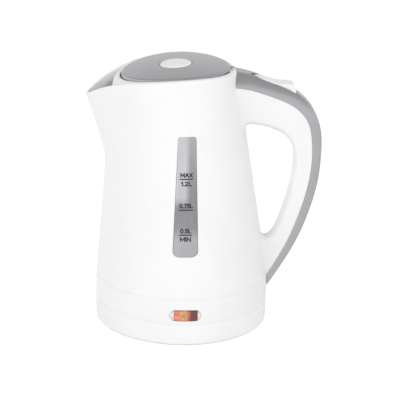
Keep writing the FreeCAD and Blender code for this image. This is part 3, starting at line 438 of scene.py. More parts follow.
def naturalSpline(knots, values):
    # cubic through all values, as a function of the knot parameter
    t, y = np.array(knots, float), np.array(values, float)
    n, h = len(t), np.diff(t)
    a, b = np.eye(n), np.zeros_like(y)
    for i in range(1, n - 1):
        a[i, i - 1:i + 2] = h[i - 1], 2 * (h[i - 1] + h[i]), h[i]
        b[i] = 6 * ((y[i + 1] - y[i]) / h[i] - (y[i] - y[i - 1]) / h[i - 1])
    m = np.linalg.solve(a, b)

    def at(x):
        i = int(min(max(np.searchsorted(t, x) - 1, 0), n - 2))
        d, e = x - t[i], t[i + 1] - x
        return (m[i] * e ** 3 + m[i + 1] * d ** 3) / (6 * h[i]) + (y[i] / h[i] - m[i] * h[i] / 6) * e \
            + (y[i + 1] / h[i] - m[i + 1] * h[i] / 6) * d
    return at


def evenly(line, count):
    # the same line with evenly spaced points
    line = np.array(line, float)
    run = np.concatenate([[0.0], np.cumsum(np.linalg.norm(np.diff(line, axis=0), axis=1))])
    marks = np.linspace(0.0, run[-1], count)
    return np.stack([np.interp(marks, run, line[:, i]) for i in range(line.shape[1])], axis=1)


def evenLoop(line, count):
    return evenly(line + line[:1], count + 1)[:-1]


# the jug's lines, in mm

jug = {
    "bottom": 40.2, "height": 176.8, "footRadius": 71.9, "topRadius": 50.0, "lean": 9.25, "wall": 2.6,
    "footEase": 0.35, "archRadius": 221.0, "archX": 8.0, "collar": 9.0, "lap": 0.3,
    "spoutSlope": 0.405, "spoutStart": 101.8, "spoutBlend": 8.0, "nose": 12.0,
    "lipRadius": 83.4, "lipStart": 58.0, "lipRound": 0.9, "lipShare": 0.46, "lipSteps": 12,
    "seamGap": (0.02, 0.26), "seamFrom": 1.3, "seamRun": 1.1,  # mm, then radians from the spout
    "flangeInner": 57.0, "flangeLow": 42.0, "flangeHigh": 46.0,
    "topSearch": (150.0, 224.0, 40),  # low, high, halvings
    "spoutColumns": 72, "bunch": 0.36, "restColumns": 168, "rows": 72, "spoutRows": 26,
}
archTop = jug["bottom"] + jug["height"]
archZ = archTop - jug["archRadius"]
lipLean = math.asin(jug["lipStart"] / jug["archRadius"])


def jugShare(z):
    return (z - jug["bottom"]) / jug["height"]


def jugCentre(z):
    return -jug["lean"] * jugShare(z)


def jugRadius(z):
    return jug["footRadius"] + (jug["topRadius"] - jug["footRadius"]) * jugShare(z)


def topLine(x, drop=0.0):
    # arch over collar and lid, then the drooping lip
    radius, lip = jug["archRadius"] - drop, jug["lipRadius"] - drop
    if x >= jug["archX"] - radius * math.sin(lipLean):
        return archZ + math.sqrt(radius ** 2 - (x - jug["archX"]) ** 2)
    lipX = jug["archX"] - (jug["archRadius"] - jug["lipRadius"]) * math.sin(lipLean)
    lipZ = archZ + (jug["archRadius"] - jug["lipRadius"]) * math.cos(lipLean)
    return lipZ + math.sqrt(max(lip ** 2 - (x - lipX) ** 2, 0.0))


def spoutReach(z):
    u = z - jug["bottom"] - jug["spoutStart"]
    return jug["spoutSlope"] * (u + math.hypot(u, jug["spoutBlend"])) / 2


def touchAngle(z, inset=0.0):
    radius, nose = jugRadius(z) - inset, jug["nose"] - inset
    return math.acos((radius - nose) / (radius + spoutReach(z) - nose))


def jugEdge(z, angle, inset=0.0):
    # distance from the jug's axis; angle 0 is the spout
    radius, nose = jugRadius(z) - inset, jug["nose"] - inset
    noseAt = radius + spoutReach(z) - nose
    touch = touchAngle(z, inset)
    noseEnd = math.atan2(nose * math.sin(touch), noseAt + nose * math.cos(touch))
    a = abs(math.remainder(angle, fullTurn))
    if a >= touch:
        return radius
    if a >= noseEnd:
        return radius / math.cos(touch - a)
    return noseAt * math.cos(a) + math.sqrt(nose ** 2 - (noseAt * math.sin(a)) ** 2)


def jugSpot(z, angle, r):
    return (jugCentre(z) - r * math.cos(angle), r * math.sin(angle), z)


def heightOn(line, angleAt, edge):
    # where a column of the wall meets a line seen from the front
    low, high, halvings = jug["topSearch"]
    for _ in range(halvings):
        z = (low + high) / 2
        a = angleAt(z)
        x = jugCentre(z) - edge(z, a) * math.cos(a)
        low, high = (z, high) if z < line(x) else (low, z)
    return (low + high) / 2


def spoutInner(z, angle):
    # its thin ends lap into the collar
    lap = jug["lap"] * max(1.0 - abs(angle) / touchAngle(z), 0.0)
    return max(jugEdge(z, angle, jug["wall"]), jugRadius(z) - lap)


def seamLine(x):
    return topLine(x, jug["collar"])


def seamEase(angle):
    # the seam is closed at the spout and opens towards the handle
    share = (abs(math.remainder(angle, fullTurn)) - jug["seamFrom"]) / jug["seamRun"]
    closed, opened = jug["seamGap"]
    return closed + (opened - closed) * min(max(share, 0.0), 1.0)


def makeJug():
    points, faces = [], []

    def put(p):
        points.append(p)
        return len(points) - 1

    def levels(low, high):
        return [low + (high - low) * i / jug["rows"] for i in range(jug["rows"] + 1)]

    half, bunch = jug["spoutColumns"] // 2, jug["bunch"]
    shares = [s * (bunch + (1 - bunch) * s * s) for s in (i / half for i in range(-half, half + 1))]
    seams = [heightOn(seamLine, lambda z, u=u: u * touchAngle(z), jugEdge) for u in shares]
    wing = touchAngle(seams[-1])
    columns = [(u * touchAngle(z), z, u) for u, z in zip(shares, seams)]
    for k in range(1, jug["restColumns"] + 1):
        a = wing + (fullTurn - 2 * wing) * k / (jug["restColumns"] + 1)
        columns.append((a, heightOn(seamLine, lambda z, a=a: a, jugEdge), None))
    footInner = jug["footRadius"] - jug["wall"]
    footLine = [(jug["flangeInner"], jug["flangeHigh"]), (jug["flangeInner"], jug["flangeLow"]),
                (footInner, jug["flangeLow"]), (footInner, jug["bottom"]),
                (jug["footRadius"] - jug["footEase"], jug["bottom"])]
    grid = []
    for a, seam, u in columns:
        ease = seamEase(a)
        inner = lambda z: jugEdge(z, a, jug["wall"])
        end = seam - (ease if u is None else 0.0)
        outer = [put(jugSpot(z, a, jugEdge(z, a))) for z in levels(jug["bottom"] + jug["footEase"], end)]
        inside = [put(jugSpot(z, a, inner(z))) for z in levels(jug["flangeHigh"], seam - ease)]
        foot = [put(jugSpot(z, a, r)) for r, z in footLine]
        rim = [put(jugSpot(seam, a, jugEdge(seam, a) - ease if u is None else spoutInner(seam, a))),
               put(jugSpot(seam, a, inner(seam) + ease))]
        spout = [] if u is None else makeSpoutColumn(put, u, seam, outer[-1], rim[0])
        grid.append((outer, rim, inside, foot, spout))
    for k, (outer, rim, inside, foot, spout) in enumerate(grid):
        outer2, rim2, inside2, foot2, spout2 = grid[(k + 1) % len(grid)]
        loop, loop2 = inside[::-1] + foot + outer, inside2[::-1] + foot2 + outer2
        faces += [(loop[i], loop2[i], loop2[i + 1], loop[i + 1]) for i in range(len(loop) - 1)]
        faces.append((rim[0], rim2[0], rim2[1], rim[1]))
        faces.append((rim[1], rim2[1], inside2[-1], inside[-1]))
        if spout and spout2:
            faces += [(spout[i], spout2[i], spout2[i + 1], spout[i + 1]) for i in range(len(spout) - 1)]
        else:
            faces.append((outer[-1], outer2[-1], rim2[0], rim[0]))
    return buildPiece("jugShell", points, faces, "white")


def makeSpoutColumn(put, u, seam, start, end):
    # up the outside of the spout, over its rounded lip and down its inside
    angleAt = lambda z: u * touchAngle(z)
    spotOn = lambda z, edge: jugSpot(z, angleAt(z), edge(z, angleAt(z)))
    topOut, topIn = (heightOn(topLine, angleAt, edge) for edge in (jugEdge, spoutInner))
    outPoint, inPoint = np.array(spotOn(topOut, jugEdge)), np.array(spotOn(topIn, spoutInner))
    thick = float(np.linalg.norm((inPoint - outPoint)[:2]))
    ease = min(jug["lipRound"], jug["lipShare"] * thick)
    rows, steps = jug["spoutRows"], jug["lipSteps"]
    column = [start]
    for i in range(1, rows + 1):
        column.append(put(spotOn(seam + (topOut - ease - seam) * i / rows, jugEdge)))
    for i in range(1, steps):
        across = thick * (1 - math.cos(math.pi * i / steps)) / 2
        near = min(across, thick - across)
        fall = ease - math.sqrt(max(ease ** 2 - max(ease - near, 0.0) ** 2, 0.0))
        p = outPoint + (inPoint - outPoint) * (across / thick if thick > 1e-6 else 0.0)
        column.append(put((p[0], p[1], p[2] - fall)))
    for i in range(rows, 0, -1):
        column.append(put(spotOn(seam + (topIn - ease - seam) * i / rows, spoutInner)))
    return column + [end]


gauge = {
    "foot": 75.7, "top": 172.6, "footWidth": 20.6, "topWidth": 14.1, "footX": -0.3, "topX": -0.5,
    "footCorner": 5.0, "topCorner": 2.0, "cornerSteps": 10, "points": 160, "gap": 0.2, "cut": (-90.0, -30.0),
    "sink": 0.15, "back": 0.2, "rim": [(0.0, 0.35), (0.12, 0.1), (0.4, 0.0)], "rings": 7,  # rim: pull, depth
}


def gaugeOutline(grow):
    low, high = gauge["footWidth"] / 2 + grow, gauge["topWidth"] / 2 + grow
    z0, z1 = gauge["foot"] - grow, gauge["top"] + grow
    footX, topX = gauge["footX"], gauge["topX"]
    footCorner, topCorner = gauge["footCorner"] + grow, gauge["topCorner"] + grow
    return roundedProfile([(footX - low, z0, footCorner), (footX + low, z0, footCorner),
                           (topX + high, z1, topCorner), (topX - high, z1, topCorner)], gauge["cornerSteps"])


def onFront(x, z, inset):
    # a point of the jug's front, seen straight on
    return (x, -math.sqrt((jugRadius(z) - inset) ** 2 - (x - jugCentre(z)) ** 2), z)


jugShell = makeJug()
cutAway(jugShell, frontCutter("windowCutter", gaugeOutline(gauge["gap"]), gauge["cut"]))
place(jugShell, "kettle", "white_plastic", "jug_body")
print("jug built:", len(jugShell.data.polygons), "faces")


# water gauge with its level marks

def makeGauge():
    sink = gauge["sink"]
    outline = evenLoop(gaugeOutline(0.0), gauge["points"])
    toward = outline - np.array([0.0, (gauge["foot"] + gauge["top"]) / 2])
    toward = toward / np.linalg.norm(toward, axis=1, keepdims=True)
    rings = []
    layers = [(0.0, jug["wall"] + gauge["back"])] + [(pull, sink + deep) for pull, deep in gauge["rim"]]
    for pull, inset in layers:
        rings.append([onFront(x, z, inset) for x, z in outline - toward * pull])
    for i in range(1, gauge["rings"] + 1):
        share = 1 - i / gauge["rings"]
        rings.append([onFront(x * share, z, sink) for x, z in outline])
    points, faces = ringFaces(rings)
    faces.append(tuple(range(len(outline))))
    return buildPiece("gaugePane", points, faces, "gauge")


place(makeGauge(), "kettle", "clear_gauge", "water_gauge")

marks = {
    "lines": [(139.0, 10.6), (114.1, 11.4), (93.8, 10.6)],  # height and length
    "lineWidth": 0.95, "lineSteps": 10, "shift": -0.5, "stroke": 0.82, "space": 0.27,
    "words": [("MAX", 140.4, 3.8, 10.0), ("1.2L", 133.4, 3.8, 9.0), ("0.75L", 115.6, 3.8, 11.0),
              ("0.5L", 95.2, 3.8, 8.9), ("MIN", 88.4, 3.8, 8.9)],  # foot, height and width
    "proud": 0.06, "thick": 0.12,
}


def arcLine(x, y, wide, tall, start, end, steps):
    turns = (math.radians(start + (end - start) * i / steps) for i in range(steps + 1))
    return [(x + wide * math.cos(a), y + tall * math.sin(a)) for a in turns]


# width and pen strokes of each letter, one unit tall
letters = {
    "M": (0.86, [[(0, 0), (0, 1), (0.43, 0.25), (0.86, 1), (0.86, 0)]]),
    "A": (0.78, [[(0, 0), (0.39, 1), (0.78, 0)], [(0.13, 0.32), (0.65, 0.32)]]),
    "X": (0.72, [[(0, 0), (0.72, 1)], [(0, 1), (0.72, 0)]]),
    "I": (0.02, [[(0.01, 0), (0.01, 1)]]),
    "N": (0.70, [[(0, 0), (0, 1), (0.70, 0), (0.70, 1)]]),
    "L": (0.50, [[(0, 1), (0, 0), (0.50, 0)]]),
    ".": (0.04, [[(0.02, 0), (0.02, 0.03)]]),
    "0": (0.62, [arcLine(0.31, 0.5, 0.31, 0.5, 0, 360, 20)]),
    "1": (0.26, [[(0, 0.76), (0.26, 1), (0.26, 0)]]),
    "2": (0.58, [arcLine(0.29, 0.72, 0.28, 0.28, 165, -40, 10) + [(0, 0), (0.58, 0)]]),
    "5": (0.58, [[(0.54, 1), (0.08, 1), (0.04, 0.56)] + arcLine(0.28, 0.33, 0.30, 0.33, 125, -140, 12)]),
    "7": (0.56, [[(0, 1), (0.56, 1), (0.18, 0)]]),
}


def makeWord(text, low, tall, wide):
    pen, strokes = 0.0, []
    for letter in text:
        width, lines = letters[letter]
        strokes += [[(pen + x, y) for x, y in line] for line in lines]
        pen += width + marks["space"]
    half = marks["stroke"] / 2
    left, stretch = marks["shift"] - wide / 2 + half, (wide - 2 * half) / (pen - marks["space"])
    points, faces = [], []
    for line in strokes:
        spots = [np.array((left + x * stretch, low + half + y * (tall - 2 * half))) for x, y in line]
        for a, b in zip(spots, spots[1:]):
            along = (b - a) / np.linalg.norm(b - a) * half
            across = np.array((-along[1], along[0]))
            faces.append(tuple(range(len(points), len(points) + 4)))
            corners = (a - along - across, b + along - across, b + along + across, a - along + across)
            points += [tuple(corner) for corner in corners]
    return points, faces


def makeMarks():
    points, faces = [], []

    def add(flat, flatFaces):
        start, count = len(points), len(flat)
        front = gauge["sink"] - marks["proud"]
        for inset in (front, front + marks["thick"]):
            points.extend(onFront(x, z, inset) for x, z in flat)
        edges = {}
        for face in flatFaces:
            faces.append(tuple(start + i for i in face))
            faces.append(tuple(start + count + i for i in reversed(face)))
            for a, b in zip(face, face[1:] + face[:1]):
                edges[(a, b)] = True
        for a, b in edges:
            if (b, a) not in edges:
                faces.append((start + b, start + a, start + count + a, start + count + b))

    for word in marks["words"]:
        add(*makeWord(*word))
    steps, half = marks["lineSteps"], marks["lineWidth"] / 2
    for z, length in marks["lines"]:
        across = [marks["shift"] - length / 2 + length * i / steps for i in range(steps + 1)]
        add([(x, z - half) for x in across] + [(x, z + half) for x in across],
            [(i, i + 1, steps + 2 + i, steps + 1 + i) for i in range(steps)])
    return buildPiece("levelMarks", points, faces, "ink")


place(makeMarks(), "kettle", "clear_gauge")
print("gauge and marks built")


# collar, lid and button

lid = {
    "radius": 44.1, "gap": 1.2, "crown": 2.2, "rimRise": 0.6, "crownReach": 10.0, "shell": 2.0, "skirt": 3.6,
    "count": 240, "holeEdge": 0.5, "holeEase": 0.15, "flatSteps": 14, "flatEdge": 0.3, "flatDrop": 0.05,
    "bevel": (0.7, 0.25), "bevelRound": 0.3, "bevelRun": 0.6,  # run in shares of the rounding
    "rimTurn": [(0.4, 0.0), (0.1, 0.5), (0.0, 1.0)],  # in and down, in shares of the rounding
    "footRound": 0.3, "innerRound": 0.4, "hingeX": 38.621, "hingeZ": 212.818, "notchHalf": 7.6,
    "notch": (-12.0, 6.0, -8.0, 1.4), "collarNotch": (-6.0, 12.0, -3.0, 14.182),  # from the hinge: x, x, z, z
}
lid["x"] = jugCentre(archTop - jug["collar"])


def lidTop(x, y, rise):
    # barrel along the arch, slightly crowned from front to back
    half = lid["radius"] + lid["crownReach"]
    sag = (lid["crown"] - lid["rimRise"]) * (half / lid["radius"]) ** 2
    crownRadius = (half ** 2 + sag ** 2) / (2 * sag)
    radius = jug["archRadius"] + rise - crownRadius + math.sqrt(crownRadius ** 2 - y ** 2)
    return archZ + math.sqrt(radius ** 2 - (x - jug["archX"]) ** 2)


def domeRings(profile, count):
    # profile entries are (radius, how to find the height from x and y)
    rings = []
    for r, height in profile:
        spots = [(lid["x"] + r * math.cos(a), r * math.sin(a)) for a in around(count)]
        rings.append([(x, y, height(x, y)) for x, y in spots])
    return rings


def under(rise, fall):
    return lambda x, y: lidTop(x, y, rise) - fall


def belowArch(drop):
    return lambda x, y: topLine(x, drop)


def makeLid():
    s = lid
    outer, edge, start = s["radius"], s["bevelRound"], s["flatDrop"]
    wide, drop = s["bevel"]
    slope = (drop - start) / (wide - edge * s["bevelRun"])
    hole = button["radius"] + button["gap"]
    rise, lead, flat = hole + s["holeEdge"], s["flatEdge"], outer - wide
    top = [(hole, s["shell"]), (hole, s["holeEdge"]), (hole + s["holeEase"], s["holeEase"]), (rise, 0.0)]
    top += [(rise + (flat - lead - rise) * i / s["flatSteps"], 0.0) for i in range(1, s["flatSteps"] + 1)]
    top += [(flat, start), (flat + lead, start + lead * slope), (outer - edge, start + (wide - edge) * slope)]
    top += [(outer - edge * inward, drop + edge * down) for inward, down in s["rimTurn"]]
    inner, low, ceiling = outer - s["shell"], s["skirt"], s["crown"] - s["shell"]
    profile = [(r, under(s["crown"], fall)) for r, fall in top]
    profile += [(outer, belowArch(low - s["footRound"])), (outer - s["footRound"], belowArch(low)),
                (inner, belowArch(low)), (inner, under(ceiling, s["innerRound"])),
                (inner - s["innerRound"], under(ceiling, 0.0))]
    return loopedPiece("lidShell", domeRings(profile, s["count"]), "grey")


def hingeCutter(reach):
    x0, x1, z0, z1 = reach
    x0, x1, half = lid["hingeX"] + x0, lid["hingeX"] + x1, lid["notchHalf"]
    plan = [(x0, -half), (x1, -half), (x1, half), (x0, half)]
    return uprightCutter("hingeCutter", plan, (lid["hingeZ"] + z0, lid["hingeZ"] + z1), "white")


button = {
    "radius": 12.8, "rise": 1.1, "round": 1.4, "gap": 0.4, "skirt": 3.2, "footRound": 0.4,
    "middle": 0.6, "dish": 0.05, "topSteps": 8, "roundSteps": 6, "count": 128,
}


def makeButton(s):
    rise, outer, edge = lid["crown"] + s["rise"], s["radius"], s["round"]
    low = topLine(lid["x"]) + lid["crown"] - lid["shell"] - s["skirt"]
    middle, steps = s["middle"], s["topSteps"]
    profile = [(middle + (outer - edge - middle) * i / steps, under(rise, s["dish"] * (1 - i / steps) ** 2))
               for i in range(steps + 1)]
    profile += [(outer - edge + edge * math.sin(t), under(rise, edge * (1 - math.cos(t))))
                for t in quarter(s["roundSteps"])]
    profile += [(outer, lambda x, y: low + s["footRound"]), (outer - s["footRound"], lambda x, y: low)]
    return cappedPiece("lidButton", domeRings(profile, s["count"]), "white")


lidShell = makeLid()
cutAway(lidShell, hingeCutter(lid["notch"]))
place(lidShell, "lid", "grey_plastic", "lid_cover")
place(makeButton(button), "button", "white_plastic", "lid_button")

coil = {"turns": 6, "wire": 0.4, "travel": 3.0, "stepsPerTurn": 36, "sides": 12}


def makeCoil(s):
    # wound wire under the button, in the room of its CAD node
    low, high = (np.array(corner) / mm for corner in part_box("button_spring"))
    x, y = (low[:2] + high[:2]) / 2
    wire, total, tall = s["wire"], s["turns"] * s["stepsPerTurn"], high[2] - low[2]
    reach, foot, rise = (high[0] - low[0]) / 2 - wire, low[2] + wire, tall - 2 * wire
    rings = []
    for i in range(total + 1):
        a, level = fullTurn * s["turns"] * i / total, foot + rise * i / total
        section = [(reach + wire * math.cos(b), level + wire * math.sin(b)) for b in around(s["sides"])]
        rings.append([(x + r * math.cos(a), y + r * math.sin(a), z) for r, z in section])
    piece = place(cappedPiece("buttonCoil", rings, "steel"), "lid", "steel", "button_spring")
    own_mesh(piece)


makeCoil(coil)

collar = {
    "round": (1.8, 1.8), "spoutRound": (3.1, 6.4), "spoutHalf": 0.35, "roundSteps": 6,  # half in radians
    "mouth": 40.4, "mouthRound": 0.7, "mouthSteps": 4, "ledge": 6.8, "ledgeShare": 0.6,
    "seamShare": 0.15, "settle": 12,  # rounds until a point lies on the cone
}


def collarRing(s, a):
    # section of the collar at an angle, from its foot over the top to the mouth
    base, inner, soft, ledge = jug["collar"], lid["radius"] + lid["gap"], s["mouthRound"], s["ledge"]

    def outside(drop):
        # on the jug's cone, a drop below the arch
        z = archTop
        for _ in range(s["settle"]):
            z = topLine(jugCentre(z) + jugRadius(z) * math.cos(a), drop)
        return (jugCentre(z) + jugRadius(z) * math.cos(a), jugRadius(z) * math.sin(a), z)

    def inside(r, drop):
        x, y = lid["x"] + r * math.cos(a), r * math.sin(a)
        return (x, y, topLine(x, drop))

    foot, seam = outside(base), seamEase(math.pi - a)
    facing = eased((abs(math.pi - a) - s["spoutHalf"]) / s["spoutHalf"])  # rounder where it meets the spout
    wide, tall = (near + (far - near) * facing for near, far in zip(s["spoutRound"], s["round"]))
    ring = [(foot[0] - seam * math.cos(a), foot[1] - seam * math.sin(a), foot[2] + s["seamShare"] * seam)]
    ring += [outside(base - seam), outside((base + tall) / 2), outside(tall)]
    for t in quarter(s["roundSteps"]):
        drop, pull = tall * (1 - math.sin(t)), wide * (1 - math.cos(t))
        x, y = outside(drop)[:2]
        x, y = x - pull * math.cos(a), y - pull * math.sin(a)
        ring.append((x, y, topLine(x, drop)))
    ring += [inside(inner + soft * (1 - math.sin(t)), soft * (1 - math.cos(t)))
             for t in quarter(s["mouthSteps"], 0)]
    return ring + [inside(inner, ledge * s["ledgeShare"]), inside(inner, ledge), inside(s["mouth"], ledge),
                   inside(s["mouth"], base)]


collarPiece = loopedPiece("collarRing", [collarRing(collar, a) for a in around(lid["count"])], "white")
cutAway(collarPiece, hingeCutter(lid["collarNotch"]))
place(collarPiece, "kettle", "white_plastic", "top_collar")
print("collar, lid and button built")


# handle: white grip and grey outer strip

handle = {
    "topX": 40.75, "topZ": 217.0, "footX": 72.0, "footZ": 40.2, "skirtRadius": 72.0,
    "edge": 5.2, "crown": 5.5, "swell": 1.08, "skin": 0.02, "wall": 2.2, "groove": 0.16,
    "upper": [((-5.5, -2.2), (-2.0, -45.6), 21.0), ((9.3, -4.7), (9.7, -45.9), 15.6),
              ((27.3, -10.6), (21.3, -47.6), 13.6), ((45.8, -17.8), (33.3, -51.4), 12.4),
              ((60.9, -30.1), (42.3, -57.2), 11.6), ((70.1, -48.0), (47.8, -66.0), 11.0),
              ((72.3, -71.0), (49.8, -79.0), 10.5)],  # outer edge, finger edge, half width
    "lower": [((39.4, 81.5), (17.0, 78.8), 10.2), ((32.4, 52.1), (11.0, 54.8), 9.8),
              ((23.4, 28.3), (5.3, 39.0), 9.4), ((11.8, 6.4), (-1.5, 30.4), 9.1),
              ((-4.0, -19.0), (-14.0, 29.0), 9.0)],
    "partUpper": [(-8.0, -12.5), (7.65, -15.4), (25.95, -21.2), (44.6, -29.0), (58.3, -41.9), (63.3, -60.0),
                  (64.1, -77.0)],  # line between grip and strip
    "partLower": [(31.1, 81.3), (25.1, 56.2), (15.5, 29.2), (3.1, 4.8), (-9.0, -16.0)],
    "partSamples": 600, "firstSplit": 12.0, "leastSplit": 1.6, "overshoot": 1.0,
    "leastRound": 1.0, "leastDepth": 0.4,
    "gripTrim": (-0.6, -0.6), "stripTrim": (-1.2, 0.3), "blend": 5.0, "blendPoints": 7.0,  # trim at top and foot
    "samples": 420, "rows": 170, "gripPoints": 34, "stripPoints": 24, "depthSteps": 90, "middleShare": (2, 5),
}


def onHandle(upper, lower):
    return [(handle["topX"] + x, handle["topZ"] + z) for x, z in upper] + \
        [(handle["footX"] + x, handle["footZ"] + z) for x, z in lower]


def chordKnots(line):
    steps = [math.dist(a, b) for a, b in zip(line, line[1:])]
    return [sum(steps[:i]) for i in range(len(steps) + 1)]


def bodyAxis(z):
    return 0.0 if z < jug["bottom"] else jugCentre(z)


def bodyGap(p):
    # distance outside jug and skirt on the handle's side
    x, y, z = p
    return math.hypot(x - bodyAxis(z), y) - (handle["skirtRadius"] if z < jug["bottom"] else jugRadius(z))


def towardsBody(p, distance):
    out = p - np.array([bodyAxis(p[2]), 0.0, p[2]])
    return p - out / np.linalg.norm(out) * distance


def handleSections():
    s = handle
    outer, finger = (onHandle([e[i] for e in s["upper"]], [e[i] for e in s["lower"]]) for i in (0, 1))
    knots = chordKnots([((a[0] + b[0]) / 2, (a[1] + b[1]) / 2) for a, b in zip(outer, finger)])
    outerAt, fingerAt = naturalSpline(knots, outer), naturalSpline(knots, finger)
    widthAt = naturalSpline(knots, [e[2] for e in s["upper"] + s["lower"]])
    part = onHandle(s["partUpper"], s["partLower"])
    partKnots = chordKnots(part)
    partAt = naturalSpline(partKnots, part)
    partLine = np.array([partAt(t) for t in np.linspace(0, partKnots[-1], s["partSamples"])])
    sections, split = [], s["firstSplit"]
    for t in np.linspace(0, knots[-1], s["samples"]):
        o, h, w = outerAt(t), fingerAt(t), float(widthAt(t))
        length = float(np.linalg.norm(o - h))
        along = (o - h) / length
        rel = partLine - o
        side = rel[:, 0] * along[1] - rel[:, 1] * along[0]
        deep = -(rel @ along)
        for i in np.nonzero(side[:-1] * side[1:] <= 0)[0]:
            if -s["overshoot"] < deep[i] < length:
                split = float(deep[i])
        sections.append((o, along, length, w, max(split, s["leastSplit"])))
    return sections


def sectionHalf(length, width, split, inset, isGrip, count):
    # half of the section from the parting to its middle, as (depth, side)
    s = handle
    w, low, high = width - inset, s["skin"] + inset, length - inset
    rounds = (width - s["crown"], split * s["swell"], s["edge"])
    across, deep, edge = (max(size - inset, s["leastRound"]) for size in rounds)

    def rounded(near, wide, tall):
        return 0.0 if near >= tall else wide - wide * math.sqrt(1 - (1 - max(near, 0.0) / tall) ** 2)

    def sideAt(d):
        return w - rounded(d - low, across, deep) - rounded(high - d, edge, edge)

    start, end = split + s["groove"] / 2, high
    if not isGrip:
        start, end = max(split - s["groove"] / 2, inset + s["leastDepth"]), low
    depths = [start + (end - start) * math.sin(t) for t in quarter(s["depthSteps"], 0)]
    return evenly([(d, sideAt(d)) for d in depths] + [(end, 0.0)], count)


def shellLoops(sections, isGrip):
    # closed U-shaped section at every sample: outside, then back along the inside
    loops = []
    count = handle["gripPoints"] if isGrip else handle["stripPoints"]
    for o, along, length, width, split in sections:
        halves = [sectionHalf(length, width, split, inset, isGrip, count) for inset in (0.0, handle["wall"])]
        outside, inside = ([(d, y) for d, y in half] + [(d, -y) for d, y in half[-2::-1]] for half in halves)
        loops.append([(o[0] - along[0] * d, y, o[1] - along[1] * d) for d, y in outside + inside[::-1]])
    return np.array(loops)


def trimmedLoft(loops, trim):
    # each long line runs only between its two meetings with the body
    clearTop, clearFoot = trim
    total, count = loops.shape[:2]
    gaps = np.array([[bodyGap(p) for p in loop] for loop in loops])
    share, whole = handle["middleShare"]
    rows, middle = handle["rows"], total * share // whole
    out = np.zeros((rows, count, 3))
    for k in range(count):
        line, gap = loops[:, k], gaps[:, k]
        first = last = middle
        while first > 0 and gap[first - 1] > clearTop:
            first -= 1
        while last < total - 1 and gap[last + 1] > clearFoot:
            last += 1
        begin, end = float(first), float(last)
        if first > 0:
            begin -= (gap[first] - clearTop) / (gap[first] - gap[first - 1])
        if last < total - 1:
            end += (gap[last] - clearFoot) / (gap[last] - gap[last + 1])
        for i in range(3):
            out[:, k, i] = np.interp(np.linspace(begin, end, rows), np.arange(total), line[:, i])
    return out


def softenRoots(grid, outside):
    # the grip swells out to the jug with a hollow curve
    blend, lastRow = handle["blend"], grid.shape[0] - 1
    result = grid.copy()
    for row in range(lastRow + 1):
        loop = grid[row, :outside]
        after, before = np.roll(loop, -1, axis=0), np.roll(loop, 1, axis=0)
        before[0], after[-1] = loop[0], loop[-1]
        lengthwise = grid[min(row + 1, lastRow), :outside] - grid[max(row - 1, 0), :outside]
        normal = np.cross(after - before, lengthwise)
        normal = normal / np.maximum(np.linalg.norm(normal, axis=1, keepdims=True), 1e-9)
        normal = normal * np.sign(np.sum(normal * (loop - grid[row].mean(axis=0)), axis=1, keepdims=True))
        for k in range(outside):
            gap = bodyGap(loop[k])
            if gap >= blend:
                continue
            swell = blend - math.sqrt(blend ** 2 - (blend - max(gap, 0.0)) ** 2)
            fade = eased(min(k, outside - 1 - k) / handle["blendPoints"])
            spot = loop[k] + normal[k] * swell * fade
            result[row, k] = towardsBody(spot, bodyGap(spot) - gap)
    return result


def loftPiece(name, grid, look):
    # closed at both ends by quads across the U
    rows, count = grid.shape[:2]
    points, faces = ringFaces([[tuple(p) for p in ring] for ring in grid])
    for base in (0, (rows - 1) * count):
        for k in range(count // 2 - 1):
            quad = (base + k, base + k + 1, base + count - 2 - k, base + count - 1 - k)
            faces.append(quad if base else quad[::-1])
    return buildPiece(name, points, faces, look)


sections = handleSections()
gripGrid = trimmedLoft(shellLoops(sections, True), handle["gripTrim"])
gripGrid = softenRoots(gripGrid, 2 * handle["gripPoints"] - 1)
place(loftPiece("gripShell", gripGrid, "white"), "kettle", "white_plastic", "jug_body")
stripShell = loftPiece("stripShell", trimmedLoft(shellLoops(sections, False), handle["stripTrim"]), "grey")


# switch lever in its slot

lever = {
    "line": [(14.4, -7.7), (21.0, -8.5), (27.8, -10.6), (34.3, -12.2), (41.0, -12.6), (46.0, -13.1)],
    "tail": [(46.0, -13.1), (47.6, -14.2), (48.9, -17.6), (49.6, -22.0)],
    "under": [(14.4, -11.4), (17.2, -12.8), (27.0, -17.5), (49.0, -24.6), (49.6, -23.4)],
    "halfWidth": 7.5, "gap": 0.4, "edge": 1.0, "rows": 80, "bunch": 0.06, "noseStart": 0.02, "noseHalf": 0.25,
    "edgeShare": (0.8, 0.45), "edgeSteps": 6,
    "reliefSize": (1.7, 2.5), "reliefAt": (13.3, -2.4), "reliefPoints": 32,
    "slotSteps": 16, "cut": (177.0, 230.0),
}


def makeLever(s):
    front, back, bend = s["line"][0][0], s["tail"][-1][0], s["tail"][0][0]
    topAt = naturalSpline(*zip(*s["line"]))
    sideShare, heightShare = s["edgeShare"]
    rings = []
    for i in range(s["rows"] + 1):
        share = i / s["rows"]
        x = front + (back - front) * (share - s["bunch"] * math.sin(fullTurn * share))
        x = min(max(x, front + s["noseStart"]), back)
        top = float(topAt(x)) if x <= bend else float(np.interp(x, *zip(*s["tail"])))
        low = float(np.interp(x, *zip(*s["under"])))
        short = max(front + s["halfWidth"] - x, 0.0)  # round nose
        half = max(math.sqrt(max(s["halfWidth"] ** 2 - short ** 2, 0.0)), s["noseHalf"])
        r = min(s["edge"], half * sideShare, (top - low) * heightShare)
        side, high, foot = half - r, top - r, low + r
        ring = []
        for corner, (y, z) in enumerate(((side, high), (-side, high), (-side, foot), (side, foot))):
            for t in quarter(s["edgeSteps"], 0):
                a = quarterTurn * corner + t
                ring.append((handle["topX"] + x, y + r * math.cos(a), handle["topZ"] + z + r * math.sin(a)))
        rings.append(ring)
    return cappedPiece("leverCap", rings, "white")


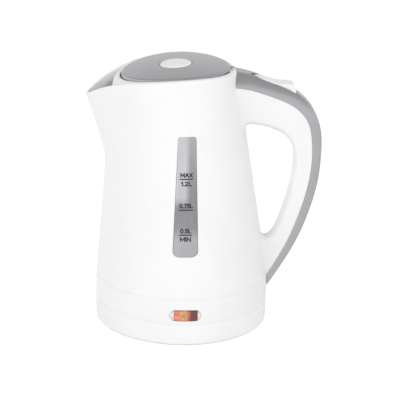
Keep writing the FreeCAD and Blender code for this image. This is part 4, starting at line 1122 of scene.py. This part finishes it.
def slotCutter(s):
    front = handle["topX"] + s["line"][0][0] - s["gap"]
    back = handle["topX"] + s["tail"][-1][0] + s["gap"]
    half, steps = s["halfWidth"] + s["gap"], s["slotSteps"]
    plan = [(front + half - half * math.cos(a), -half * math.sin(a)) for a in quarter(steps, -steps)]
    return uprightCutter("slotCutter", [(back, half)] + plan + [(back, -half)], s["cut"], "grey")


def paintedShadeReliefCutter(s):
    # small round relief in front of the lever's nose; its cut walls take the black finish, painted shade for the
    # dark of the hole
    (x, y), (long, wide) = s["reliefAt"], s["reliefSize"]
    plan = [(handle["topX"] + x + long * math.cos(a), y + wide * math.sin(a)) for a in around(s["reliefPoints"])]
    # black finish passes to the relief's walls in the cut: painted shade
    return uprightCutter("paintedShadeReliefCutter", plan, s["cut"], "black")


cutAway(stripShell, slotCutter(lever))
cutAway(stripShell, paintedShadeReliefCutter(lever))
place(stripShell, "kettle", "grey_plastic", "handle_cover")
place(makeLever(lever), "lever", "white_plastic", "switch_lever")
print("handle and switch built")


# skirt, lamp and power base

skirt = {
    "low": 19.0, "high": 39.8, "radius": 72.0, "wall": 2.2, "edge": 0.25, "topEdge": 0.2, "ledgeRound": 0.3,
    "ledge": (60.0, 35.4, 37.4), "tongue": (71.75, 40.18), "tongueRound": 0.1,
}
lamp = {
    "x": 0.7, "z": 26.7, "length": 25.5, "height": 9.3, "gap": 0.2, "proud": 0.19, "back": 1.4,
    "layers": [(1.0, -0.5), (0.985, -0.16), (0.95, 0.0), (0.8, 0.05), (0.5, 0.1), (0.2, 0.1)],  # spread, rise
    "endSteps": 18, "points": 120, "cut": (-80.0, -55.0),
}


def pillOutline(s, grow):
    half, run = s["height"] / 2 + grow, (s["length"] - s["height"]) / 2
    line = []
    for sign in (1, -1):
        for i in range(s["endSteps"] + 1):
            a = -quarterTurn + math.pi * i / s["endSteps"]
            line.append((s["x"] + sign * (run + half * math.cos(a)), s["z"] + sign * half * math.sin(a)))
    return line


def makeSkirt(s):
    outer, inner = s["radius"], s["radius"] - s["wall"]
    ledge, ledgeLow, ledgeHigh = s["ledge"]
    tongue, tongueTop = s["tongue"]  # backs the shadow line under the jug
    return turnedPiece("skirtShell", [
        (outer, s["low"], s["edge"]), (outer, s["high"], s["topEdge"]), (tongue, s["high"], 0),
        (tongue, tongueTop, s["tongueRound"]), (inner, tongueTop, s["tongueRound"]), (inner, ledgeHigh, 0),
        (ledge, ledgeHigh, s["ledgeRound"]), (ledge, ledgeLow, s["ledgeRound"]), (inner, ledgeLow, 0),
        (inner, s["low"], s["ledgeRound"])], "white")


def makeLens(s):
    top = skirt["radius"] + s["proud"]
    back = skirt["radius"] - skirt["wall"] - s["back"]
    outline = evenLoop(pillOutline(s, 0.0), s["points"])
    middle = np.array([s["x"], s["z"]])
    rings = []
    for share, radius in [(1.0, back)] + [(share, top + rise) for share, rise in s["layers"]]:
        spread = middle + (outline - middle) * share
        rings.append([(x, -math.sqrt(radius ** 2 - x * x), z) for x, z in spread])
    return cappedPiece("lampLens", rings, "lamp", fromFront=True)


skirtShell = makeSkirt(skirt)
cutAway(skirtShell, frontCutter("pillCutter", pillOutline(lamp, lamp["gap"]), lamp["cut"]))
place(skirtShell, "kettle", "white_plastic", "lower_skirt")
place(makeLens(lamp), "kettle", "lamp_clear", "lamp_lens")

powerBase = {
    "low": 1.2, "high": 18.7, "radius": 72.0, "wall": 2.2, "edge": 1.2, "rimRound": 0.3, "footRound": 0.3,
    "well": 22.5, "wellLow": 7.0, "wellRound": (0.6, 0.2), "tongue": (71.65, 66.0, 18.94), "tongueRound": 0.1,
}


def makeBase(s):
    outer, inner, top, ceiling = s["radius"], s["radius"] - s["wall"], s["high"], s["high"] - s["wall"]
    well, ring, (mouthRound, lowRound) = s["well"], s["well"] + s["wall"], s["wellRound"]
    tongue, tongueIn, tongueTop = s["tongue"]  # low ring that backs the seam under the kettle
    return turnedPiece("baseShell", [
        (outer, s["low"], s["edge"]), (outer, top, s["rimRound"]), (tongue, top, 0),
        (tongue, tongueTop, s["tongueRound"]), (tongueIn, tongueTop, s["tongueRound"]), (tongueIn, top, 0),
        (well, top, mouthRound), (well, s["wellLow"], lowRound), (ring, s["wellLow"], lowRound),
        (ring, ceiling, 0), (inner, ceiling, 0), (inner, s["low"], s["footRound"])], "white")


place(makeBase(powerBase), "power_base", "white_plastic", "base_housing")
print("skirt, lamp and base built")


# floor and light

stageSet = {
    "floorSize": 6.0, "floorShade": 0.82, "floorGlow": 0.5, "glossFade": (0.0, 0.13, 0.3),  # from, to, share left
    "sky": (1.0, 0.45), "skyRise": (0.15, 0.55),
}


def seenRays(tree, spot, s):
    # one for camera and glass; in gloss the floor fades towards the handle's side
    rays = tree.nodes.new("ShaderNodeLightPath")
    near, far, least = s["glossFade"]
    fade = addRange(tree, splitSpot(tree, spot)[0], near, far, soft=True, start=1.0, end=least)
    seen = addMath(tree, "MULTIPLY", rays.outputs["Is Glossy Ray"], fade)
    for kind in ("Is Camera Ray", "Is Transmission Ray"):
        seen = addMath(tree, "MAXIMUM", seen, rays.outputs[kind])
    return seen


def makeFloor(s):
    half = s["floorSize"]
    mesh = bpy.data.meshes.new("floor")
    mesh.from_pydata([(-half, -half, 0), (half, -half, 0), (half, half, 0), (-half, half, 0)], [], [(0, 1, 2, 3)])
    floor = bpy.data.objects.new("floor", mesh)
    scene.collection.objects.link(floor)
    material, tree, shader, spot = startMaterial("paleFloor")
    setSockets(shader, Base_Color=(*grey(s["floorShade"]), 1.0), Roughness=0.9, Specular_IOR_Level=0.1,
               Emission_Color=(1, 1, 1, 1))
    glow = addNode(tree, "ShaderNodeMath", seenRays(tree, spot, s), 0, {"operation": "MULTIPLY"})
    glow.inputs[1].default_value = s["floorGlow"]
    tree.links.new(glow.outputs["Value"], shader.inputs["Emission Strength"])
    mesh.materials.append(material)


def makeWorld(s):
    # white near the horizon, greyer overhead
    world = bpy.data.worlds.new("softWhite")
    scene.world = world
    world.use_nodes = True
    tree = world.node_tree
    back = tree.nodes["Background"]
    setSockets(back, Color=(1, 1, 1, 1))
    z = splitSpot(tree, tree.nodes.new("ShaderNodeTexCoord").outputs["Generated"])[1]
    low, high = s["sky"]
    level = addRange(tree, z, *s["skyRise"], soft=True, start=low, end=high)
    tree.links.new(level, back.inputs["Strength"])


lamps = {
    "key": {"place": (-1.3, -1.7, 1.2), "size": 2.0, "power": 21.6},
    "fill": {"place": (1.7, -1.3, 1.7), "size": 1.8, "power": 19.6},
    "top": {"place": (-0.1, 0.4, 1.7), "size": 1.2, "power": 0.8},
}
lampAim = (0, 0, 0.11)


def makeLamps():
    for name, s in lamps.items():
        light = bpy.data.lights.new(name, "AREA")
        light.shape, light.size, light.energy = "SQUARE", s["size"], s["power"]
        source = bpy.data.objects.new(name, light)
        source.location = s["place"]
        aim = Vector(lampAim) - Vector(s["place"])
        source.rotation_euler = aim.to_track_quat("-Z", "Y").to_euler()
        source.visible_glossy = False  # gloss shows floor and sky, not the lamps
        scene.collection.objects.link(source)


makeFloor(stageSet)
makeWorld(stageSet)
makeLamps()
print("floor and light set")

bpy.context.view_layer.update()
